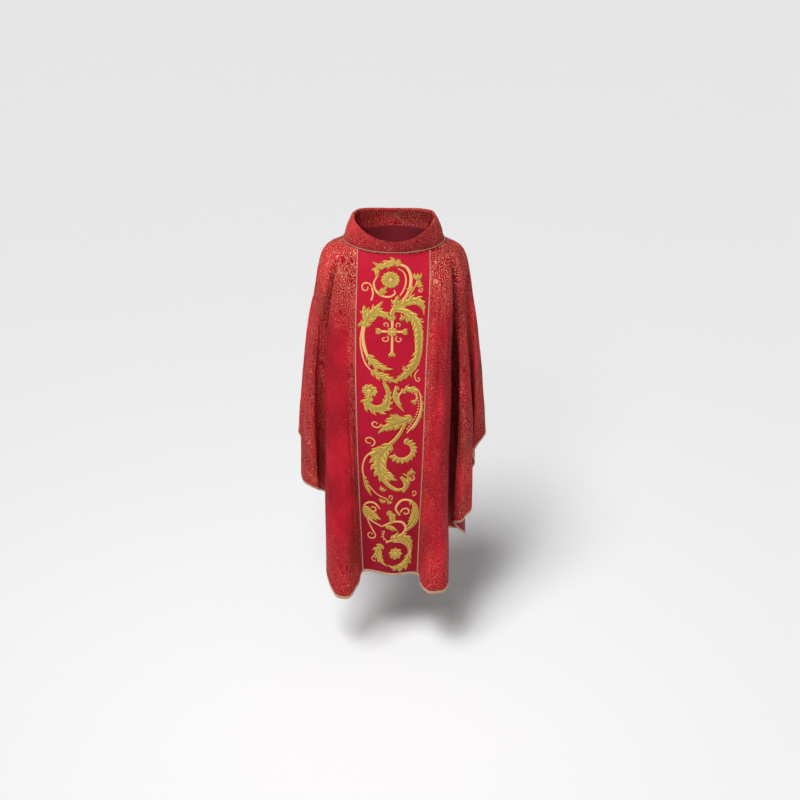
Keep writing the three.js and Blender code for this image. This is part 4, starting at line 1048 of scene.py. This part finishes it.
# The motifs of the front orphrey, each one a piece: x to the right of the middle, y down from the neck seam.
frontMotifs = {
    "top_roundel": [
        *stem([(14, 34), (38, 48), (50, 74), (50, 104), (42, 134), (22, 164)], (7, 9, 5)),
        *stem([(14, 50), (31, 64), (37, 90), (32, 118), (20, 142)], (3, 5, 4)),
        *acanthus([(22, 34), (-6, 30), (-34, 44), (-60, 34)], 22, 5),
        *acanthus([(-38, 42), (-50, 58), (-44, 80)], 16, 3),
        *stem([(-48, 78), (-56, 102), (-48, 128), (-28, 144), (-8, 144), (6, 132), (2, 122)], (4, 7, 5)),
        *acanthus([(-42, 138), (-30, 126), (-20, 110)], 15, 3),
    ],
    "top_flower": flower(-8, 88, 28, 13),
    "bud_sprig": [
        *stem([(30, 158), (50, 136), (62, 112), (70, 86)], (3, 3, 3)),
        *bud(70, 88, -88, 22, 14), *bud(68, 106, -25, 20, 13), *bud(56, 124, -130, 17, 11),
        *spiral(80, 122, 8, -60, 250, 4, 4),
    ],
    "upper_left_tendril": [
        *spiral(-80, 116, 19, 0, -380, 6, 5), *stem([(-61, 116), (-58, 134), (-63, 160)], (5, 5, 6)),
    ],
    "upper_left_leaf": [
        *acanthus([(-84, 252), (-72, 222), (-52, 192), (-30, 160)], 32, 5),
        *acanthus([(-74, 222), (-84, 202), (-84, 176)], 20, 3),
        *acanthus([(-62, 208), (-40, 200), (-20, 210), (-6, 230)], 22, 4),
        *acanthus([(-86, 240), (-96, 242), (-106, 256)], 12, 2),
    ],
    "upper_right_leaf": [
        *acanthus([(10, 186), (8, 164), (16, 140)], 22, 3),
        *acanthus([(20, 176), (44, 160), (70, 156), (92, 176), (98, 210)], 26, 7),
        *spiral(90, 226, 9, 20, 300, 4, 4),
    ],
    "wreath_left": [
        *stem([(-90, 250), (-97, 300), (-92, 346), (-78, 390), (-54, 420)], (5, 6, 5)),
        *stem([(-82, 244), (-88, 288), (-84, 324), (-72, 362), (-48, 392)], (8, 12, 8)),
        *acanthus([(-70, 356), (-52, 386), (-26, 398), (2, 400)], 24, 5),
        *acanthus([(-60, 414), (-36, 428), (-10, 436), (18, 452)], 24, 5),
    ],
    "wreath_right": [
        *plainStroke([(-4, 210), (2, 190), (36, 194), (62, 216), (79, 258), (84, 304), (82, 353), (68, 394),
                      (38, 424), (8, 446)], (11, 24, 10)),
        *acanthus([(36, 196), (62, 216), (79, 258), (84, 304), (82, 353), (66, 396)], 26, 11),
        *acanthus([(80, 340), (70, 380), (54, 404), (62, 432)], 26, 4),
        *acanthus([(64, 392), (44, 410), (34, 388)], 18, 3),
        *acanthus([(60, 408), (30, 430), (0, 446)], 18, 4),
        *stem([(84, 404), (72, 424), (76, 444)], (3, 4, 4)), *spiral(84, 440, 9, 160, -120, 5, 4),
    ],
    "centre_cross": [
        *stem([(-2, 214), (-2, 352)], (9, 7, 9)), *stem([(-46, 266), (42, 266)], (9, 7, 9)),
        *flower(-2, 266, 17, 8),
        *bud(-2, 226, -90, 17, 13), *bud(-2, 340, 90, 17, 13), *bud(-34, 266, 180, 17, 13),
        *bud(30, 266, 0, 17, 13),
        *spiral(-24, 292, 12, -60, 260, 5, 4), *spiral(20, 292, 12, 240, -80, 5, 4),
        *spiral(-22, 242, 9, 60, -240, 4, 4), *spiral(18, 242, 9, 120, 420, 4, 4),
    ],
    "small_pendants": [
        *stem([(24, 204), (28, 212)], (3, 3, 3)), *bud(28, 212, 75, 16, 10),
        *stem([(40, 208), (44, 218)], (3, 3, 3)), *bud(44, 218, 60, 16, 10),
    ],
    "left_flower_leaf": [
        *flower(-68, 488, 25, 9), *spiral(-68, 488, 18, 40, -240, 6, 4),
        *acanthus([(-64, 512), (-80, 540), (-52, 558), (-24, 548), (-12, 510), (-14, 470), (-30, 444)],
                  28, 11),
        *plainStroke([(-60, 516), (-70, 540), (-48, 552), (-22, 536), (-14, 490), (-28, 452)], (5, 13, 5)),
    ],
    "right_loop": [
        *stem(arc(52, 508, 33, 150, 420, 28), (6, 7, 5)),
        *acanthus([(14, 462), (8, 500), (22, 534), (40, 562)], 20, 5, (-1,)),
        *acanthus([(30, 486), (52, 474), (78, 486), (84, 510)], 18, 5), *bud(76, 520, 130, 16, 9),
    ],
    "beaded_stem": [
        *stem([(46, 468), (84, 480), (99, 540), (82, 598), (48, 646)], (5, 6, 6)),
        *beads([(56, 484), (82, 504), (88, 546), (74, 590), (50, 628)], 17, 6),
        *acanthus([(96, 500), (104, 540), (94, 590), (66, 636)], 14, 6, (-1,)),
    ],
    "fan_leaf": [
        *acanthus([(64, 584), (26, 602), (-10, 614), (-44, 650)], 34, 6),
        *acanthus([(34, 598), (8, 586), (-20, 590)], 26, 4),
        *spiral(-50, 614, 16, -10, 330, 5, 5), *bud(8, 588, -95, 20, 12),
    ],
    "petal_crescent": [
        *stem(arc(36, 714, 30, -80, 160, 30), (4, 5, 4)),
        *petalRow(36, 714, 31, 52, -76, 12, 11),
    ],
    "acanthus_scroll": [
        *plainStroke([(46, 602), (20, 656), (-16, 700), (-38, 752), (-38, 806), (-12, 852), (26, 872),
                      (56, 856), (56, 820), (38, 806)], (8, 13, 6)),
        *acanthus([(-4, 690), (-34, 730), (-42, 790), (-18, 844), (20, 866)], 40, 9),
        *acanthus([(-32, 790), (-8, 820), (20, 832)], 28, 4),
        *acanthus([(-24, 704), (-52, 732), (-60, 770)], 24, 4),
        *spiral(70, 828, 12, -80, 240, 5, 5),
        *plainStroke([(32, 818), (52, 848), (42, 884)], (6, 17, 7)),
        *acanthus([(58, 812), (70, 800), (84, 812)], 14, 3),
    ],
    "left_stem": [
        *stem([(-50, 716), (-82, 752), (-96, 800), (-86, 850), (-68, 908)], (5, 7, 4)),
        *spiral(-70, 686, 20, 70, -290, 7, 5),
        *acanthus([(-92, 830), (-84, 868), (-66, 910)], 18, 5, (-1,)),
        *stem([(-74, 866), (-46, 898), (-10, 912)], (4, 4, 4)), *spiral(-4, 902, 10, 80, -220, 4, 4),
        *bud(-34, 880, -60, 18, 10),
    ],
    "lower_right_scroll": [
        *stem([(32, 978), (17, 948), (38, 916), (68, 920), (92, 948)], (6, 9, 6)),
        *spiral(52, 966, 18, -180, 160, 6, 6),
        *plainStroke([(68, 920), (93, 948), (98, 985), (84, 1020), (52, 1048)], (8, 20, 5)),
        *acanthus([(68, 920), (93, 948), (98, 985), (84, 1020), (52, 1048)], 24, 8, (1,)),
        *acanthus([(86, 952), (84, 990), (58, 1030)], 24, 5), *spiral(80, 888, 12, 120, -200, 5, 4),
    ],
    "lower_left_scroll": [
        *stem([(-34, 1030), (-72, 1010), (-99, 976), (-88, 944), (-58, 936), (-38, 958)], (5, 8, 6)),
        *plainStroke([(-92, 960), (-74, 988), (-36, 1000)], (8, 18, 5)),
        *acanthus([(-92, 960), (-74, 988), (-36, 1000)], 32, 6), *spiral(-62, 960, 14, 150, -160, 5, 5),
        *bud(-32, 930, -80, 18, 10), *bud(-10, 930, -70, 16, 9),
    ],
    "middle_scroll": [
        *plainStroke([(-12, 962), (6, 988), (-4, 1018)], (5, 16, 5)),
        *acanthus([(-12, 962), (6, 988), (-4, 1018)], 20, 4),
        *stem([(-34, 1030), (4, 1006), (40, 1008), (54, 1034), (38, 1060), (0, 1066)], (5, 9, 6)),
        *acanthus([(-20, 1024), (6, 1030), (26, 1046)], 18, 4, (1,)),
        *stem([(-24, 1046), (-28, 1074), (-10, 1092)], (3, 4, 3)),
        *beads([(-30, 1050), (-34, 1074), (-18, 1092)], 5, 5),
    ],
    "lower_left_tendril": [
        *spiral(-72, 1074, 18, -30, 320, 7, 5), *stem([(-56, 1068), (-72, 1036), (-90, 992)], (5, 5, 4)),
    ],
    "bottom_roundel": [
        *stem(arc(18, 1140, 58, -130, 80, 58), (7, 8, 7)),
        *stem(arc(18, 1140, 50, -100, 60, 50), (4, 4, 4)),
        *plainStroke([(0, 1080), (38, 1070), (70, 1096), (80, 1140)], (6, 20, 6)),
        *acanthus([(0, 1080), (38, 1070), (70, 1096), (80, 1140)], 28, 7),
        *acanthus([(72, 1150), (58, 1190), (24, 1206), (-14, 1192)], 28, 6),
        *acanthus([(-34, 1108), (-50, 1146), (-38, 1180), (-14, 1200)], 26, 5),
        *spiral(-62, 1174, 12, 60, 360, 5, 4),
    ],
    "bottom_rosette": [*flower(18, 1142, 26, 8), *spiral(18, 1142, 14, 0, 420, 4, 4)],
}


rowSpacing = 3.2    # millimetres between the rows of a stroke


# Lays one stroke on the centre panel as a closed, domed ribbon.
def layStroke(plan, lift, side):
    columns = np.array([-1, -0.9, -0.68, -0.36, 0, 0.36, 0.68, 0.9, 1])
    rough = np.linalg.norm(np.diff(np.array(plan["points"], float), axis=0), axis=1).sum()
    count = max(7, int(rough / rowSpacing))
    path, run = curveThrough(plan["points"], count)
    share = run / run[-1]
    full = fullness["leaf" if plan["tone"] > leafTone else "stem"]
    width = np.interp(share, (0, 0.5, 1), plan["widths"]) / 2 * full    # half the stroke's width
    width = width * np.sqrt(np.clip(1 - np.clip((share - 0.9) / 0.1, 0, 1) ** 2 * 0.8, 0, 1))
    tangent = np.gradient(path, axis=0)
    tangent /= np.linalg.norm(tangent, axis=1, keepdims=True)
    out = np.stack([-tangent[:, 1], tangent[:, 0]], -1)
    flat = path[:, None] + out[:, None] * (width[:, None] * columns)[..., None]
    ends = np.sqrt(np.clip(np.minimum(share / 0.08, (1 - share) / 0.08), 0.05, 1))
    plump = np.minimum(1, width * 2 / 7)[:, None]    # narrow strokes lie lower
    dome = plan["height"] * (1 - columns ** 2) ** 0.5 * ends[:, None] * (0.55 + 0.45 * plump)
    top = onOrphrey(flat, padding["backing"] + lift + dome, side)
    low = onOrphrey(flat, np.full(flat.shape[:2], padding["backing"] * 0.4), side)
    points = np.concatenate([top.reshape(-1, 3), low.reshape(-1, 3)])
    along = np.repeat(run[:, None] / 1000, len(columns), 1)
    uv = np.stack([along, np.broadcast_to(columns, along.shape)], -1).reshape(-1, 2)
    return points, shellFaces(count, len(columns))[:, ::-1], np.tile(uv, (2, 1))


# Joins the strokes of a motif to one piece; each lies a little higher than the one before, in turns of five.
def embroider(name, node, strokes, side):
    allPoints, allFaces, allUv, allTone = [], [], [], []
    first = 0
    for i, plan in enumerate(strokes):
        points, faces, uv = layStroke(plan, (i % 5) * 0.00007, side)
        allPoints.append(points)
        allFaces.append(faces + first)
        allUv.append(uv + (i * 0.013, 0))
        allTone.append(np.full(len(points), plan["tone"]))
        first += len(points)
    return addPiece(name, node, np.concatenate(allPoints), np.concatenate(allFaces), np.concatenate(allUv),
                    "gold_stitch", {"tone": np.concatenate(allTone)})


# top_flower becomes topFlower
def camel(words):
    first, *rest = words.split("_")
    return first + "".join(word.capitalize() for word in rest)


embroidery = [embroider(camel(name), "embroidery_" + name, strokes, "front")
              for name, strokes in frontMotifs.items()]

backCrossStrokes = [
    *stem([(0, 240), (0, 400), (0, 560)], (22, 18, 22)),
    *stem([(-84, 340), (0, 340), (84, 340)], (22, 18, 22)),
    *flower(0, 340, 34, 8), *bud(0, 262, -90, 24, 22), *bud(0, 538, 90, 24, 22),
    *bud(-66, 340, 180, 24, 22), *bud(66, 340, 0, 24, 22),
]
backCross = embroider("backCross", "back_embroidered_cross", backCrossStrokes, "back")
print("embroidery laid")

for name, piece in panelPieces.items():
    restsOn = ["neck_seam_tape", "shoulder_rest"]
    declare(piece, panelGrids[name], restsOn)
print("flat sizes in metres (width, length, area):", flatSizes)


studio = {
    "floorHeight": -1.62, "floorSize": 240,
    "floorColour": (0.98, 0.98, 0.98), "floorPatches": (0.95, 0.95, 0.96),
    "world": 0.20, "horizon": 0.62, "horizonTop": (0.12, 0.40),
    "sunStrength": 2.15, "sunSoftness": 26.0, "sunPlace": (-1.1, -1.6, 3.5),
    "keyPower": 15.0, "keySize": 0.4, "keyPlace": (-0.40, -1.35, 0.95), "keyTarget": (0, 0, -0.25),
}


def addFloor():
    bpy.ops.mesh.primitive_plane_add(size=studio["floorSize"], location=(0, 0, studio["floorHeight"]))
    floor = bpy.context.object
    floor.name = "floor"
    graph = newMaterial("floor")
    soft = graph.noise(graph.node("ShaderNodeTexCoord", output="Object"), 0.8)
    colour = graph.mix(soft * 0.3, studio["floorColour"], studio["floorPatches"])
    floor.data.materials.append(graph.finish(Base_Color=colour, Roughness=0.9))


def addLight(name, kind, place, target, **settings):
    light = bpy.data.lights.new(name, kind)
    for key, value in settings.items():
        setattr(light, key, value)
    holder = bpy.data.objects.new(name, light)
    holder.location = place
    holder.rotation_euler = (Vector(target) - Vector(place)).to_track_quat("-Z", "Y").to_euler()
    bpy.context.collection.objects.link(holder)


# An even sky that is brighter at the horizon.
def addWorld():
    world = bpy.data.worlds.new("studio")
    bpy.context.scene.world = world
    graph = Graph(world)
    direction = graph.node("ShaderNodeTexCoord", output="Generated")
    height = graph.node("ShaderNodeSeparateXYZ", None, direction, output="Z")
    low, high = studio["horizonTop"]
    strength = graph.node("ShaderNodeMapRange", None, height, low, high, studio["horizon"], studio["world"])
    background = graph.tree.nodes["Background"]
    background.inputs["Color"].default_value = (1, 1, 1, 1)
    graph.feed(background.inputs["Strength"], strength)


cameraPlan = {
    "place": (0, -3.5, 1.17), "down": 27.4, "right": 0.457, "roll": 0.75, "lens": 49.05, "sensor": 36,
}


def addCamera():
    down, right, roll = (math.radians(cameraPlan[key]) for key in ("down", "right", "roll"))
    forward = Vector((math.sin(right) * math.cos(down), math.cos(right) * math.cos(down), -math.sin(down)))
    level = Vector((math.cos(right), -math.sin(right), 0))
    above = level.cross(forward)
    across = level * math.cos(roll) + above * math.sin(roll)
    above = above * math.cos(roll) - level * math.sin(roll)
    data = bpy.data.cameras.new("camera")
    data.sensor_width = cameraPlan["sensor"]
    data.lens = cameraPlan["lens"]
    camera = bpy.data.objects.new("camera", data)
    camera.matrix_world = Matrix((across, above, -forward)).transposed().to_4x4()
    camera.location = cameraPlan["place"]
    bpy.context.collection.objects.link(camera)
    bpy.context.scene.camera = camera


addFloor()
addLight("keyLight", "AREA", studio["keyPlace"], studio["keyTarget"],
         energy=studio["keyPower"], size=studio["keySize"])
addLight("sun", "SUN", studio["sunPlace"], (0, 0, 0),
         energy=studio["sunStrength"], angle=math.radians(studio["sunSoftness"]))
addWorld()
addCamera()
bpy.context.scene.view_settings.view_transform = "Standard"
print("studio set")
